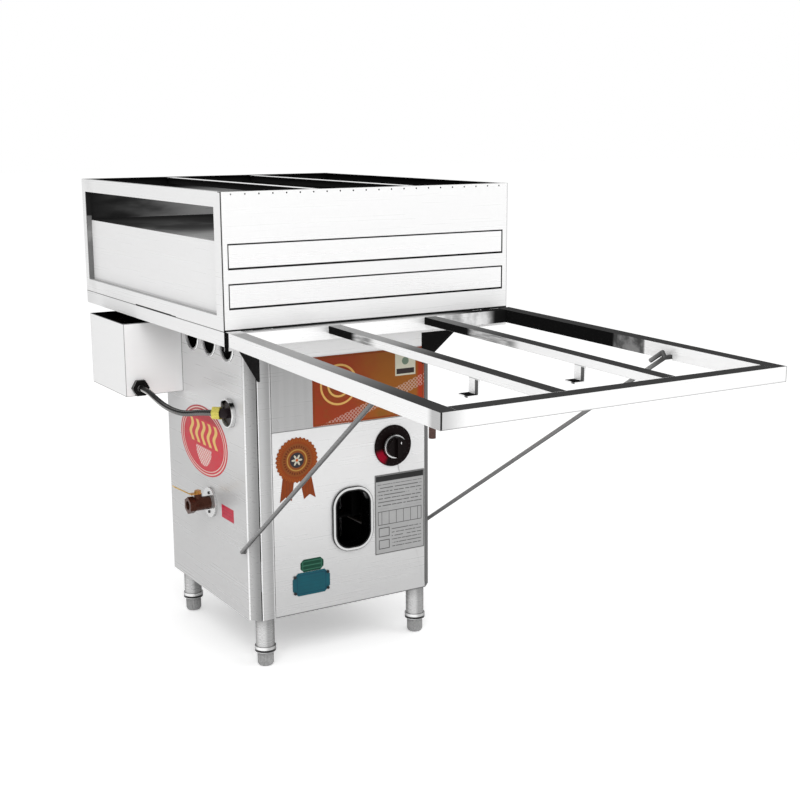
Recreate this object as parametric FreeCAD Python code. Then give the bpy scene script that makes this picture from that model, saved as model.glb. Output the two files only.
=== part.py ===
import FreeCAD, Part
import math
import os

# Gas-fired drawer steamer for rice noodle rolls.
# Millimetres, X to the right, Y to the back, Z up. The model is drawn with the
# front face of the steam box at Y = 0, and moved to its origin at the end.

V = FreeCAD.Vector

# Sheet, clearances and cuts
SHEET = 1.2
FIT_GAP = 0.3
SEAM = 1.0
SLIDE_GAP = 1.2
SHAFT_GAP = 0.05
OVERRUN = 5.0
FOLD_DEPTH = 12.0

# Steam box
BOX_HALF_W = 306.0
BOX_DEPTH = 748.0
BOX_TOP_Z = 947.0
DECK_Z = 701.0
ROOF_Z = 859.0
BOX_HEM = 9.0
POST_FRONT_W = 30.0
POST_REAR_W = 20.0
TOP_RAIL_H = 27.0
LEDGE_Z = 728.0
WALL_RECESS = 11.8
DOT_RADIUS = 1.6
DOT_PITCH = 27.2
DOT_COUNT = 22
DOT_DROP = 4.6
TOP_BAR_X = 103.0
TOP_BAR_W = 20.0
TOP_BAR_WEB = 14.0
TOP_BAR_T = 1.5
DRIP_SLOT_Y0 = 225.0
DRIP_SLOT_Y1 = 441.0
DRIP_SLOT_H = 2.6

# Drawers and their runners
DRAWER_FACE_HALF_W = 293.4
DRAWER_FACE_H = 41.4
DRAWER_TOP_GAP = 0.6
DRAWER_SIDE_GAP = 0.8
DRAWER_BOTTOM_GAP = 2.2
LOWER_FACE_Z = 743.0
DRAWER_STEP = 70.6
DRAWER_HALF_W = 290.0
DRAWER_LENGTH = 690.0
DRAWER_RAIL_H = 26.0
DRAWER_LEDGE_W = 12.0
DRAWER_BAR_X = 97.0
DRAWER_BAR_W = 14.0
RUNNER_T = 1.5
RUNNER_W = 14.0
RUNNER_UP = 10.0
RUNNER_LIFT = 2.4
TRAY_WALL = 0.8
TRAY_H = 21.0
TRAY_SIDE_GAP = 0.7
TRAY_LIP = 9.0

# Deck pan that carries the box
DECK_T = 2.0
SKIRT_SIDE_H = 26.0
SKIRT_FRONT_H = 34.0

# Base cabinet
CAB_HALF_W = 210.0
CAB_FRONT_Y = 121.0
CAB_DEPTH = 410.0
CAB_BOTTOM_Z = 99.0
CHAMFER = 20.0
STRIP_W = 28.0
FASCIA_Z = 476.0
FLOOR_T = 2.5
AIR_HOLE_HALF = 120.0
GUSSET_FOOT_Z = 580.0
GUSSET_INSET = 8.0
GUSSET_REACH_X = 92.0
GUSSET_REACH_Y = 64.0
GUSSET_T = 3.0
VENT_RADIUS = 32.0
VENT_RIM = 3.0
VENT_LIP = 2.0
VENT_Z = 642.0
VENT_FIRST_Y = 209.0
VENT_PITCH = 85.5
VENT_COUNT = 3

# Legs and feet
LEG_X = 176.0
LEG_FRONT_Y = 140.5
LEG_REAR_Y = 511.0
LEG_RADIUS = 19.0
LEG_WALL = 1.5
COLLAR_RADIUS = 21.5
COLLAR_H = 12.0
COLLAR_TOP_Z = 42.0
COLLAR_PLUG_H = 14.0
FOOT_RADIUS = 15.6
FOOT_ROUND = 5.0
FOOT_STEM_RADIUS = 5.0
FOOT_STEM_RISE = 30.0
FOOT_RIDGES = 20
FOOT_RIDGE_RADIUS = 0.9

# Water tank, burner and its gas line
TANK_HALF_W = 165.0
TANK_FRONT_Y = 180.0
TANK_REAR_Y = 500.0
TANK_BOTTOM_Z = 430.0
SHROUD_RADIUS = 140.0
SHROUD_WALL = 2.0
SHROUD_BOTTOM_Z = 250.0
SHROUD_DOOR_HALF = 50.0
BURNER_Y = 335.0
BURNER_RADIUS = 90.0
BURNER_Z = 268.0
BURNER_H = 28.0
BURNER_CORE_RADIUS = 34.0
BURNER_GROOVE_W = 16.0
BURNER_GROOVE_DEPTH = 12.0
BURNER_FOOT_RADIUS = 22.0
FLAME_PORT_RADIUS = 2.5
FLAME_PORTS = 24
STAND_BAR_W = 24.0
STAND_BAR_T = 4.0
STAND_SPREAD = 90.0
PIPE_RADIUS = 7.0
PIPE_SIDE_X = -158.0
PIPE_LOW_Z = 225.0
PIPE_LINE_Y = 152.0

# Control valve, dial and knob
KNOB_X = 112.0
KNOB_Z = 418.0
VALVE_BLOCK_HALF = 19.0
VALVE_BLOCK_DEPTH = 38.0
SPINDLE_RADIUS = 4.0
SPINDLE_INSET = 18.0
DIAL_RADIUS = 43.0
DIAL_T = 2.5
DIAL_HOLE_RADIUS = 14.0
KNOB_TRAVEL = 4.0
KNOB_RADIUS = 21.0
KNOB_DEPTH = 22.0
KNOB_GRIP_W = 9.0
KNOB_GRIP_DEPTH = 7.0
KNOB_RING_RADIUS = 24.5
KNOB_RING_H = 6.0
KNOB_SOCKET = 12.0

# Sight port and small plates
PORT_X = 16.0
PORT_Z = 278.5
PORT_W = 78.0
PORT_H = 118.0
PORT_ROUND = 32.0
PORT_RIM = 8.0
PORT_PROUD = 5.0
PORT_SLEEVE = 30.0
PORT_WALL = 1.5
PLATE_X = -80.0
PLATE_Z = 159.5
PLATE_W = 84.0
PLATE_H = 48.0
PLATE_CORNER = 12.0
PLATE_T = 1.0
PLATE_SCREW_X = 37.0
PLATE_SCREW_Z = 17.0
SCREW_RADIUS = 3.0
SCREW_H = 1.8

# Gas inlet valve on the left side
INLET_Y = 311.0
INLET_Z = 301.5
FLANGE_RADIUS = 31.0
FLANGE_T = 5.0
FLANGE_SCREW_SPREAD = 20.0
BODY_RADIUS = 14.0
BODY_LENGTH = 47.0
BODY_HEX_HALF = 15.5
BODY_HEX_LENGTH = 13.0
INLET_BORE_RADIUS = 9.3
INLET_BORE_DEPTH = 14.0
STEM_RADIUS = 4.5
STEM_BOSS_RADIUS = 8.0
STEM_BOSS_TOP = 21.0
STEM_INSET = 24.0
STEM_FOOT_RISE = 8.0
STEM_NUT_HALF = 6.5
STEM_NUT_H = 5.0
LEVER_W = 12.0
LEVER_T = 2.5
LEVER_FLAT = 16.0
LEVER_REACH = 52.0
LEVER_RISE = 22.0

# Water box with its float valve, on the left side
WATER_OUT_X = 335.0
WATER_FRONT_Y = 440.0
WATER_REAR_Y = 646.0
WATER_BOTTOM_Z = 513.0
WATER_TOP_Z = 664.0
WATER_HEM = 5.0
FLOAT_X = -272.0
FLOAT_BODY_Z = 640.0
FLOAT_BODY_RADIUS = 10.0
FLOAT_BODY_LENGTH = 34.0
FLOAT_NIPPLE_RADIUS = 10.5
FLOAT_NIPPLE_LENGTH = 24.0
FLOAT_NIPPLE_BORE = 7.0
FLOAT_NUT_HALF = 15.0
FLOAT_NUT_H = 7.0
FLOAT_FORK_W = 12.0
FLOAT_FORK_REACH = 12.0
FLOAT_PIN_RADIUS = 2.0
FLOAT_ARM_RADIUS = 2.5
FLOAT_ARM_RUN = 70.0
FLOAT_ARM_DROP = 30.0
FLOAT_BALL_RADIUS = 24.0
FLOAT_EYE_HALF_W = 3.0
FLOAT_EYE_RADIUS = 6.0

# Braided water hose from the water box to the cabinet, its route chosen by hand
HOSE_DIAMETER = 12.0
HOSE_ROUTE = [
    V(-306.0, 422.0, 530.0),
    V(-306.0, 390.0, 530.0),
    V(-305.5, 352.0, 521.5),
    V(-300.5, 316.0, 512.0),
    V(-291.0, 287.0, 505.5),
    V(-277.5, 264.0, 503.0),
    V(-257.597, 241.597, 508.0),
    V(-237.597, 221.597, 508.0),
]
HOSE_ARC_SHARE = 0.45
TANK_FITTING_X = -306.0
TANK_FITTING_Z = 530.0
TANK_FITTING_RADIUS = 16.0
TANK_FITTING_H = 10.0
FERRULE_RADIUS = 8.5
FERRULE_LENGTH = 8.0
HOSE_NUT_HALF = 12.0
HOSE_NUT_LENGTH = 16.0
HOSE_HOLE_Y = 203.0
HOSE_HOLE_Z = 508.0
HOSE_HOLE_RADIUS = 26.0
HOSE_RIM_RADIUS = 29.0
HOSE_RIM_H = 9.0
ELBOW_RADIUS = 10.0
ELBOW_PLATE_RADIUS = 24.0
ELBOW_PLATE_T = 4.0
ELBOW_OUT = 9.0
ELBOW_ARM = 10.3

# Front shelf, slightly wider at its front than at its hinges
SHELF_BACK_HALF_W = 307.0
SHELF_FRONT_HALF_W = 321.0
SHELF_LENGTH = 717.0
SHELF_HINGE_Y = -8.0
SHELF_TOP_Z = 703.0
SHELF_DROOP_DEG = 1.1
RAIL_W = 28.0
RAIL_H = 25.0
RAIL_T = 1.5
SHELF_BAR_X = 103.0
SHELF_BAR_W = 26.0
SHELF_BAR_H = 14.0
HOOK_W = 26.0
HOOK_T = 3.0
HOOK_DROP = 27.0
HOOK_FOOT = 19.0
HOOK_Y = 494.0
SPIGOT_RADIUS = 5.0
SPIGOT_BORE = 3.2
SPIGOT_LENGTH = 20.0
SPIGOT_INSET = 42.0
HINGE_X = 247.0
HINGE_W = 60.0
HINGE_PIN_RADIUS = 2.5
HINGE_EYE_RADIUS = 5.0
HINGE_PIN_DROP = 6.0
HINGE_LEAF_T = 2.0
HINGE_LEAF_LOW = 24.0
HINGE_LEAF_RISE = 2.0
HINGE_RELIEF = 1.0
HINGE_KNUCKLE_GAP = 0.4
NOTCH_Y = 490.0
NOTCH_RISE = 5.4

# Struts that hold the shelf up
STRUT_RADIUS = 4.0
STRUT_HOLE_GAP = 0.5
STRUT_FOOT_X = 216.0
STRUT_FOOT_Y = 152.0
STRUT_FOOT_Z = 238.0
STRUT_FOOT_INSIDE = 6.0
STRUT_HEAD_INSET = 13.0
STRUT_HEAD_TIP = 9.0
STRUT_HOOK_GAP = 10.0
STRUT_HOOK_LEG = 32.0
STRUT_PULL = 8.0

# Sizes worked out from the ones above
CAB_BACK_Y = CAB_FRONT_Y + CAB_DEPTH
CHAMFER_Y = CAB_FRONT_Y + CHAMFER
CHAMFER_X = CAB_HALF_W - CHAMFER
DECK_UNDER_Z = DECK_Z - DECK_T
BACK_IN_Y = BOX_DEPTH - SHEET
CHAMBER_HALF_W = BOX_HALF_W - WALL_RECESS - SHEET
UPPER_FACE_Z = LOWER_FACE_Z + DRAWER_STEP
SHELF_FRONT_Y = SHELF_HINGE_Y - SHELF_LENGTH
HINGE_PIN_Z = SHELF_TOP_Z - HINGE_PIN_DROP
WATER_IN_X = CAB_HALF_W

# The origin is the middle of the footprint, on the floor
DROOP = math.radians(SHELF_DROOP_DEG)
PIN_TO_TOP = HINGE_PIN_DROP
FRONT_REACH_Y = SHELF_HINGE_Y - SHELF_LENGTH * math.cos(DROOP) - PIN_TO_TOP * math.sin(DROOP)
REAR_REACH_Y = BOX_DEPTH
ORIGIN = V((SHELF_FRONT_HALF_W - WATER_OUT_X) / 2, (FRONT_REACH_Y + REAR_REACH_Y) / 2, 0)

X_AXIS = V(1, 0, 0)
Y_AXIS = V(0, 1, 0)
Z_AXIS = V(0, 0, 1)

NODES = {}


def add(name, *solids):
    """Keep one node: a solid, or a group of separate solids."""
    NODES[name] = solids[0] if len(solids) == 1 else Part.makeCompound(list(solids))


def block(x0, x1, y0, y1, z0, z1):
    return Part.makeBox(x1 - x0, y1 - y0, z1 - z0, V(x0, y0, z0))


def rod(start, axis, radius, length):
    return Part.makeCylinder(radius, length, start, axis)


def rod_between(start, end, radius):
    run = end - start
    return Part.makeCylinder(radius, run.Length, start, run)


def ring(start, axis, outer, inner, length):
    return rod(start, axis, outer, length).cut(rod(start, axis, inner, length))


def hexagon(start, axis, half, length):
    """A hexagonal bar whose flats lie at the given half width."""
    corner = half / math.cos(math.pi / 6)
    sides = 6
    points = [V(corner * math.cos(2 * math.pi * k / sides),
                corner * math.sin(2 * math.pi * k / sides), 0) for k in range(sides + 1)]
    bar = Part.Face(Part.makePolygon(points)).extrude(V(0, 0, length))
    bar.Placement = FreeCAD.Placement(start, FreeCAD.Rotation(Z_AXIS, axis))
    return bar


def prism(points, rise):
    """The outline through the points, carried along rise."""
    return Part.Face(Part.makePolygon(points + [points[0]])).extrude(rise)


def round_frame(x, z, width, height, corner, y0, y1):
    """A bar along Y whose outline is a rectangle with round corners."""
    bar = block(x - width / 2, x + width / 2, y0, y1, z - height / 2, z + height / 2)
    edges = [e for e in bar.Edges if abs(e.Vertexes[0].Y - e.Vertexes[1].Y) > (y1 - y0) / 2]
    return bar.makeFillet(corner, edges)


def folded_panel(x0, x1, y, z0, z1, depth):
    """A front panel folded back along its four edges."""
    inside = block(x0 + SHEET, x1 - SHEET, y + SHEET, y + depth, z0 + SHEET, z1 - SHEET)
    return block(x0, x1, y, y + depth, z0, z1).cut(inside)


def mirrored(shape):
    return shape.mirror(V(0, 0, 0), X_AXIS)


# Base cabinet

def side_panel_blank():
    """The left side sheet, bent round the front corner."""
    outer = -CAB_HALF_W
    bend = SHEET * (math.sqrt(2) - 1)
    plan = [
        V(outer, CAB_BACK_Y, CAB_BOTTOM_Z),
        V(outer, CHAMFER_Y, CAB_BOTTOM_Z),
        V(-CHAMFER_X, CAB_FRONT_Y, CAB_BOTTOM_Z),
        V(-CHAMFER_X, CAB_FRONT_Y + SHEET * math.sqrt(2), CAB_BOTTOM_Z),
        V(outer + SHEET, CHAMFER_Y + bend, CAB_BOTTOM_Z),
        V(outer + SHEET, CAB_BACK_Y, CAB_BOTTOM_Z),
    ]
    panel = prism(plan, V(0, 0, DECK_UNDER_Z - CAB_BOTTOM_Z))
    for k in range(VENT_COUNT):
        centre = V(outer - VENT_LIP, VENT_FIRST_Y + k * VENT_PITCH, VENT_Z)
        panel = panel.fuse(rod(centre, X_AXIS, VENT_RADIUS, VENT_LIP))
        panel = panel.cut(rod(centre, X_AXIS, VENT_RADIUS - VENT_RIM, VENT_LIP + OVERRUN))
    strut_hole = rod(V(outer - OVERRUN, STRUT_FOOT_Y, STRUT_FOOT_Z), X_AXIS,
                     STRUT_RADIUS + STRUT_HOLE_GAP, 2 * OVERRUN)
    return panel.cut(strut_hole)


def make_cabinet():
    blank = side_panel_blank()
    inlet_hole = rod(V(-CAB_HALF_W - OVERRUN, INLET_Y, INLET_Z), X_AXIS, PIPE_RADIUS + FIT_GAP,
                     2 * OVERRUN)
    hose_hole = rod(V(-CAB_HALF_W - OVERRUN, HOSE_HOLE_Y, HOSE_HOLE_Z), X_AXIS,
                    HOSE_HOLE_RADIUS, 2 * OVERRUN)
    add("left_side_panel", blank.cut(inlet_hole).cut(hose_hole))
    add("right_side_panel", mirrored(blank))

    inner = CAB_HALF_W - SHEET
    back_y = CAB_BACK_Y - FOLD_DEPTH
    back = block(-inner, inner, back_y, CAB_BACK_Y, CAB_BOTTOM_Z, DECK_UNDER_Z)
    hollow = block(-inner + SHEET, inner - SHEET, back_y, CAB_BACK_Y - SHEET,
                   CAB_BOTTOM_Z + SHEET, DECK_UNDER_Z - SHEET)
    add("back_panel", back.cut(hollow))

    strip_left = -CHAMFER_X + SEAM
    strip_right = strip_left + STRIP_W
    strip_z0 = CAB_BOTTOM_Z
    strip = block(strip_left, strip_right, CAB_FRONT_Y, CAB_FRONT_Y + SHEET, strip_z0, DECK_UNDER_Z)
    strip_fold = block(strip_right - SHEET, strip_right, CAB_FRONT_Y + SHEET,
                       CAB_FRONT_Y + FOLD_DEPTH, strip_z0, DECK_UNDER_Z)
    add("front_corner_strip", strip.fuse(strip_fold))

    front_left = strip_right + SEAM
    front_right = CHAMFER_X - SEAM
    add("front_fascia", folded_panel(front_left, front_right, CAB_FRONT_Y,
                                     FASCIA_Z + SEAM, DECK_UNDER_Z, FOLD_DEPTH))
    panel = folded_panel(front_left, front_right, CAB_FRONT_Y, CAB_BOTTOM_Z, FASCIA_Z, FOLD_DEPTH)
    port = round_frame(PORT_X, PORT_Z, PORT_W, PORT_H, PORT_ROUND,
                       CAB_FRONT_Y - OVERRUN, CAB_FRONT_Y + OVERRUN)
    spindle_hole = rod(V(KNOB_X, CAB_FRONT_Y - OVERRUN, KNOB_Z), Y_AXIS,
                       SPINDLE_RADIUS + SEAM, 2 * OVERRUN)
    add("front_panel", panel.cut(port).cut(spindle_hole))

    floor_z1 = CAB_BOTTOM_Z + FLOOR_T
    floor_front = CAB_FRONT_Y + FOLD_DEPTH
    floor = block(-inner, inner, floor_front, back_y, CAB_BOTTOM_Z, floor_z1)
    air = block(-AIR_HOLE_HALF, AIR_HOLE_HALF, BURNER_Y - AIR_HOLE_HALF, BURNER_Y + AIR_HOLE_HALF,
                CAB_BOTTOM_Z, floor_z1)
    corner_cuts = []
    for side in (-1, 1):
        sheet_in = CAB_HALF_W - SHEET
        tip = floor_front + sheet_in - CHAMFER_X
        cut_plan = [V(side * sheet_in, floor_front, CAB_BOTTOM_Z),
                    V(side * CHAMFER_X, floor_front, CAB_BOTTOM_Z),
                    V(side * sheet_in, tip, CAB_BOTTOM_Z)]
        corner_cuts.append(prism(cut_plan, V(0, 0, FLOOR_T)))
    add("floor_plate", floor.cut(air).cut(corner_cuts[0]).cut(corner_cuts[1]))


def make_gussets():
    """Triangular plates that stand on the front face beside its corners, under the deck, and slant outwards."""
    x = CHAMFER_X - GUSSET_INSET
    foot = V(x, CAB_FRONT_Y, GUSSET_FOOT_Z)
    top_in = V(x, CAB_FRONT_Y, DECK_UNDER_Z)
    top_out = top_in + V(GUSSET_REACH_X, -GUSSET_REACH_Y, 0)
    along_face = GUSSET_T * math.hypot(GUSSET_REACH_X, GUSSET_REACH_Y) / GUSSET_REACH_Y
    plate = prism([foot, top_in, top_out], V(along_face, 0, 0))
    add("corner_gussets", mirrored(plate), plate)


def leg_places():
    for side in (-1, 1):
        for y in (LEG_FRONT_Y, LEG_REAR_Y):
            yield side * LEG_X, y


def make_foot(x, y):
    body_h = COLLAR_TOP_Z - COLLAR_H - FIT_GAP
    body = rod(V(x, y, 0), Z_AXIS, FOOT_RADIUS, body_h)
    low = [e for e in body.Edges if e.BoundBox.ZMax < body_h / 2 and e.Curve.TypeId == "Part::GeomCircle"]
    body = body.makeFillet(FOOT_ROUND, low)
    stem = rod(V(x, y, body_h), Z_AXIS, FOOT_STEM_RADIUS, FOOT_STEM_RISE)
    for k in range(FOOT_RIDGES):
        turn = 2 * math.pi * k / FOOT_RIDGES
        spot = V(x + FOOT_RADIUS * math.cos(turn), y + FOOT_RADIUS * math.sin(turn), FOOT_ROUND)
        ridge = rod(spot, Z_AXIS, FOOT_RIDGE_RADIUS, body_h - 2 * FOOT_ROUND)
        body = body.fuse(ridge)
    return body.fuse(stem)


def make_legs():
    tubes = []
    collars = []
    for x, y in leg_places():
        tubes.append(ring(V(x, y, COLLAR_TOP_Z), Z_AXIS, LEG_RADIUS, LEG_RADIUS - LEG_WALL,
                          CAB_BOTTOM_Z - COLLAR_TOP_Z))
        collar_z = COLLAR_TOP_Z - COLLAR_H
        collar = rod(V(x, y, collar_z), Z_AXIS, COLLAR_RADIUS, COLLAR_H)
        plug = rod(V(x, y, COLLAR_TOP_Z), Z_AXIS, LEG_RADIUS - LEG_WALL - SHAFT_GAP, COLLAR_PLUG_H)
        bore = rod(V(x, y, collar_z), Z_AXIS, FOOT_STEM_RADIUS + SHAFT_GAP, COLLAR_H + COLLAR_PLUG_H)
        collars.append(collar.fuse(plug).cut(bore))
    add("leg_tubes", *tubes)
    add("leg_collars", *collars)
    add("foot_front_left", make_foot(-LEG_X, LEG_FRONT_Y))
    add("foot_front_right", make_foot(LEG_X, LEG_FRONT_Y))
    add("foot_rear_left", make_foot(-LEG_X, LEG_REAR_Y))
    add("foot_rear_right", make_foot(LEG_X, LEG_REAR_Y))


def make_deck():
    """The pan between cabinet and box, with a skirt all round."""
    w = BOX_HALF_W
    deck = block(-w, w, 0, BOX_DEPTH, DECK_UNDER_Z, DECK_Z)
    side_z = DECK_Z - SKIRT_SIDE_H
    front_z = DECK_Z - SKIRT_FRONT_H
    deck = deck.fuse(block(-w, w, 0, SHEET, front_z, DECK_UNDER_Z))
    deck = deck.fuse(block(-w, w, BACK_IN_Y, BOX_DEPTH, side_z, DECK_UNDER_Z))
    for x0, x1 in ((-w, -w + SHEET), (w - SHEET, w)):
        deck = deck.fuse(block(x0, x1, SHEET, BACK_IN_Y, side_z, DECK_UNDER_Z))
    well = block(-TANK_HALF_W + SHEET, TANK_HALF_W - SHEET, TANK_FRONT_Y + SHEET, TANK_REAR_Y - SHEET,
                 DECK_UNDER_Z, DECK_Z)
    add("deck_pan", deck.cut(well))


def make_burner():
    tank = block(-TANK_HALF_W, TANK_HALF_W, TANK_FRONT_Y, TANK_REAR_Y, TANK_BOTTOM_Z, DECK_UNDER_Z)
    water = block(-TANK_HALF_W + SHEET, TANK_HALF_W - SHEET, TANK_FRONT_Y + SHEET,
                  TANK_REAR_Y - SHEET, TANK_BOTTOM_Z + SHEET, DECK_UNDER_Z)
    add("water_tank", tank.cut(water))

    centre = V(0, BURNER_Y, SHROUD_BOTTOM_Z)
    shroud = ring(centre, Z_AXIS, SHROUD_RADIUS, SHROUD_RADIUS - SHROUD_WALL,
                  TANK_BOTTOM_Z - SHROUD_BOTTOM_Z)
    door = block(-SHROUD_DOOR_HALF, SHROUD_DOOR_HALF, BURNER_Y - SHROUD_RADIUS, BURNER_Y,
                 SHROUD_BOTTOM_Z, PORT_Z + PORT_H / 2)
    shroud = shroud.cut(door.translated(V(PORT_X, 0, 0)))

    head = rod(V(0, BURNER_Y, BURNER_Z), Z_AXIS, BURNER_RADIUS, BURNER_H)
    groove_z = BURNER_Z + BURNER_H - BURNER_GROOVE_DEPTH
    groove = ring(V(0, BURNER_Y, groove_z), Z_AXIS, BURNER_CORE_RADIUS + BURNER_GROOVE_W,
                  BURNER_CORE_RADIUS, BURNER_GROOVE_DEPTH)
    head = head.cut(groove)
    port_circle = (BURNER_RADIUS + BURNER_CORE_RADIUS + BURNER_GROOVE_W) / 2
    for k in range(FLAME_PORTS):
        turn = 2 * math.pi * k / FLAME_PORTS
        spot = V(port_circle * math.cos(turn), BURNER_Y + port_circle * math.sin(turn), groove_z)
        head = head.cut(rod(spot, Z_AXIS, FLAME_PORT_RADIUS, BURNER_GROOVE_DEPTH))
    foot = rod(V(0, BURNER_Y, SHROUD_BOTTOM_Z), Z_AXIS, BURNER_FOOT_RADIUS, BURNER_Z - SHROUD_BOTTOM_Z)
    feed = rod(V(0, BURNER_Y, SHROUD_BOTTOM_Z), Z_AXIS, PIPE_RADIUS + SHAFT_GAP,
               BURNER_Z - SHROUD_BOTTOM_Z)
    add("burner_head", head.fuse(foot).cut(feed))

    inner = CAB_HALF_W - SHEET
    bar_z = SHROUD_BOTTOM_Z - STAND_BAR_T
    half = STAND_BAR_W / 2
    stand = block(-half, half, BURNER_Y - STAND_SPREAD, BURNER_Y + STAND_SPREAD, bar_z, SHROUD_BOTTOM_Z)
    for offset in (-STAND_SPREAD, STAND_SPREAD):
        y = BURNER_Y + offset
        stand = stand.fuse(block(-inner, inner, y - half, y + half, bar_z, SHROUD_BOTTOM_Z))
    stand = stand.cut(rod(V(0, BURNER_Y, bar_z), Z_AXIS, PIPE_RADIUS + SHAFT_GAP, STAND_BAR_T))
    add("fire_shroud", shroud, stand)


def pipe_line(points):
    """Straight pipes joined by ball elbows."""
    line = rod_between(points[0], points[1], PIPE_RADIUS)
    for start, end in zip(points[1:], points[2:]):
        line = line.fuse(Part.makeSphere(PIPE_RADIUS, start))
        line = line.fuse(rod_between(start, end, PIPE_RADIUS))
    return line


def make_gas_line():
    supply = [
        V(-CAB_HALF_W, INLET_Y, INLET_Z),
        V(PIPE_SIDE_X, INLET_Y, INLET_Z),
        V(PIPE_SIDE_X, PIPE_LINE_Y, INLET_Z),
        V(PIPE_SIDE_X, PIPE_LINE_Y, KNOB_Z),
        V(KNOB_X - VALVE_BLOCK_HALF, PIPE_LINE_Y, KNOB_Z),
    ]
    feed = [
        V(KNOB_X, PIPE_LINE_Y, KNOB_Z - VALVE_BLOCK_HALF),
        V(KNOB_X, PIPE_LINE_Y, PIPE_LOW_Z),
        V(KNOB_X, BURNER_Y, PIPE_LOW_Z),
        V(0, BURNER_Y, PIPE_LOW_Z),
        V(0, BURNER_Y, BURNER_Z),
    ]
    add("gas_pipes", pipe_line(supply), pipe_line(feed))


def make_controls():
    block_y = CAB_FRONT_Y + SHEET
    half = VALVE_BLOCK_HALF
    bore_depth = SPINDLE_INSET + KNOB_TRAVEL + FIT_GAP
    valve = block(KNOB_X - half, KNOB_X + half, block_y, block_y + VALVE_BLOCK_DEPTH,
                  KNOB_Z - half, KNOB_Z + half)
    bore = rod(V(KNOB_X, block_y, KNOB_Z), Y_AXIS, SPINDLE_RADIUS + SHAFT_GAP, bore_depth)
    add("control_valve", valve.cut(bore))

    dial_y = CAB_FRONT_Y - DIAL_T
    add("dial_plate", ring(V(KNOB_X, dial_y, KNOB_Z), Y_AXIS, DIAL_RADIUS, DIAL_HOLE_RADIUS, DIAL_T))

    knob_back = dial_y - KNOB_TRAVEL - FIT_GAP
    knob_front = knob_back - KNOB_DEPTH
    core = rod(V(KNOB_X, knob_front + KNOB_GRIP_DEPTH, KNOB_Z), Y_AXIS, KNOB_RADIUS,
               KNOB_DEPTH - KNOB_GRIP_DEPTH)
    grip = block(KNOB_X - KNOB_GRIP_W / 2, KNOB_X + KNOB_GRIP_W / 2, knob_front,
                 knob_front + KNOB_GRIP_DEPTH, KNOB_Z - KNOB_RADIUS, KNOB_Z + KNOB_RADIUS)
    grip = grip.common(rod(V(KNOB_X, knob_front, KNOB_Z), Y_AXIS, KNOB_RADIUS, KNOB_GRIP_DEPTH))
    socket = rod(V(KNOB_X, knob_back - KNOB_SOCKET, KNOB_Z), Y_AXIS, SPINDLE_RADIUS + SHAFT_GAP,
                 KNOB_SOCKET)
    add("gas_knob", core.fuse(grip).cut(socket))
    add("knob_ring", ring(V(KNOB_X, knob_back - KNOB_RING_H, KNOB_Z), Y_AXIS, KNOB_RING_RADIUS,
                          KNOB_RADIUS, KNOB_RING_H))
    spindle_y = knob_back - KNOB_SOCKET
    spindle_end = block_y + SPINDLE_INSET
    add("knob_spindle", rod(V(KNOB_X, spindle_y, KNOB_Z), Y_AXIS, SPINDLE_RADIUS, spindle_end - spindle_y))


def make_port():
    face = CAB_FRONT_Y
    rim = round_frame(PORT_X, PORT_Z, PORT_W + 2 * PORT_RIM, PORT_H + 2 * PORT_RIM,
                      PORT_ROUND + PORT_RIM, face - PORT_PROUD, face)
    sleeve = round_frame(PORT_X, PORT_Z, PORT_W, PORT_H, PORT_ROUND, face, face + PORT_SLEEVE)
    hole = round_frame(PORT_X, PORT_Z, PORT_W - 2 * PORT_WALL, PORT_H - 2 * PORT_WALL,
                       PORT_ROUND - PORT_WALL, face - PORT_PROUD, face + PORT_SLEEVE)
    add("sight_port", rim.fuse(sleeve).cut(hole))


def make_plate():
    y0 = CAB_FRONT_Y - PLATE_T
    x0 = PLATE_X - PLATE_W / 2
    x1 = PLATE_X + PLATE_W / 2
    z0 = PLATE_Z - PLATE_H / 2
    z1 = PLATE_Z + PLATE_H / 2
    c = PLATE_CORNER
    outline = [V(x0 + c, y0, z0), V(x1 - c, y0, z0), V(x1, y0, z0 + c), V(x1, y0, z1 - c),
               V(x1 - c, y0, z1), V(x0 + c, y0, z1), V(x0, y0, z1 - c), V(x0, y0, z0 + c)]
    add("rating_plate", prism(outline, V(0, PLATE_T, 0)))
    screws = []
    for sx in (-1, 1):
        for sz in (-1, 1):
            spot = V(PLATE_X + sx * PLATE_SCREW_X, y0 - SCREW_H, PLATE_Z + sz * PLATE_SCREW_Z)
            screws.append(rod(spot, Y_AXIS, SCREW_RADIUS, SCREW_H))
    for sz in (-1, 1):
        spot = V(-CAB_HALF_W - FLANGE_T - SCREW_H, INLET_Y, INLET_Z + sz * FLANGE_SCREW_SPREAD)
        screws.append(rod(spot, X_AXIS, SCREW_RADIUS, SCREW_H))
    add("small_screws", *screws)


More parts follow.
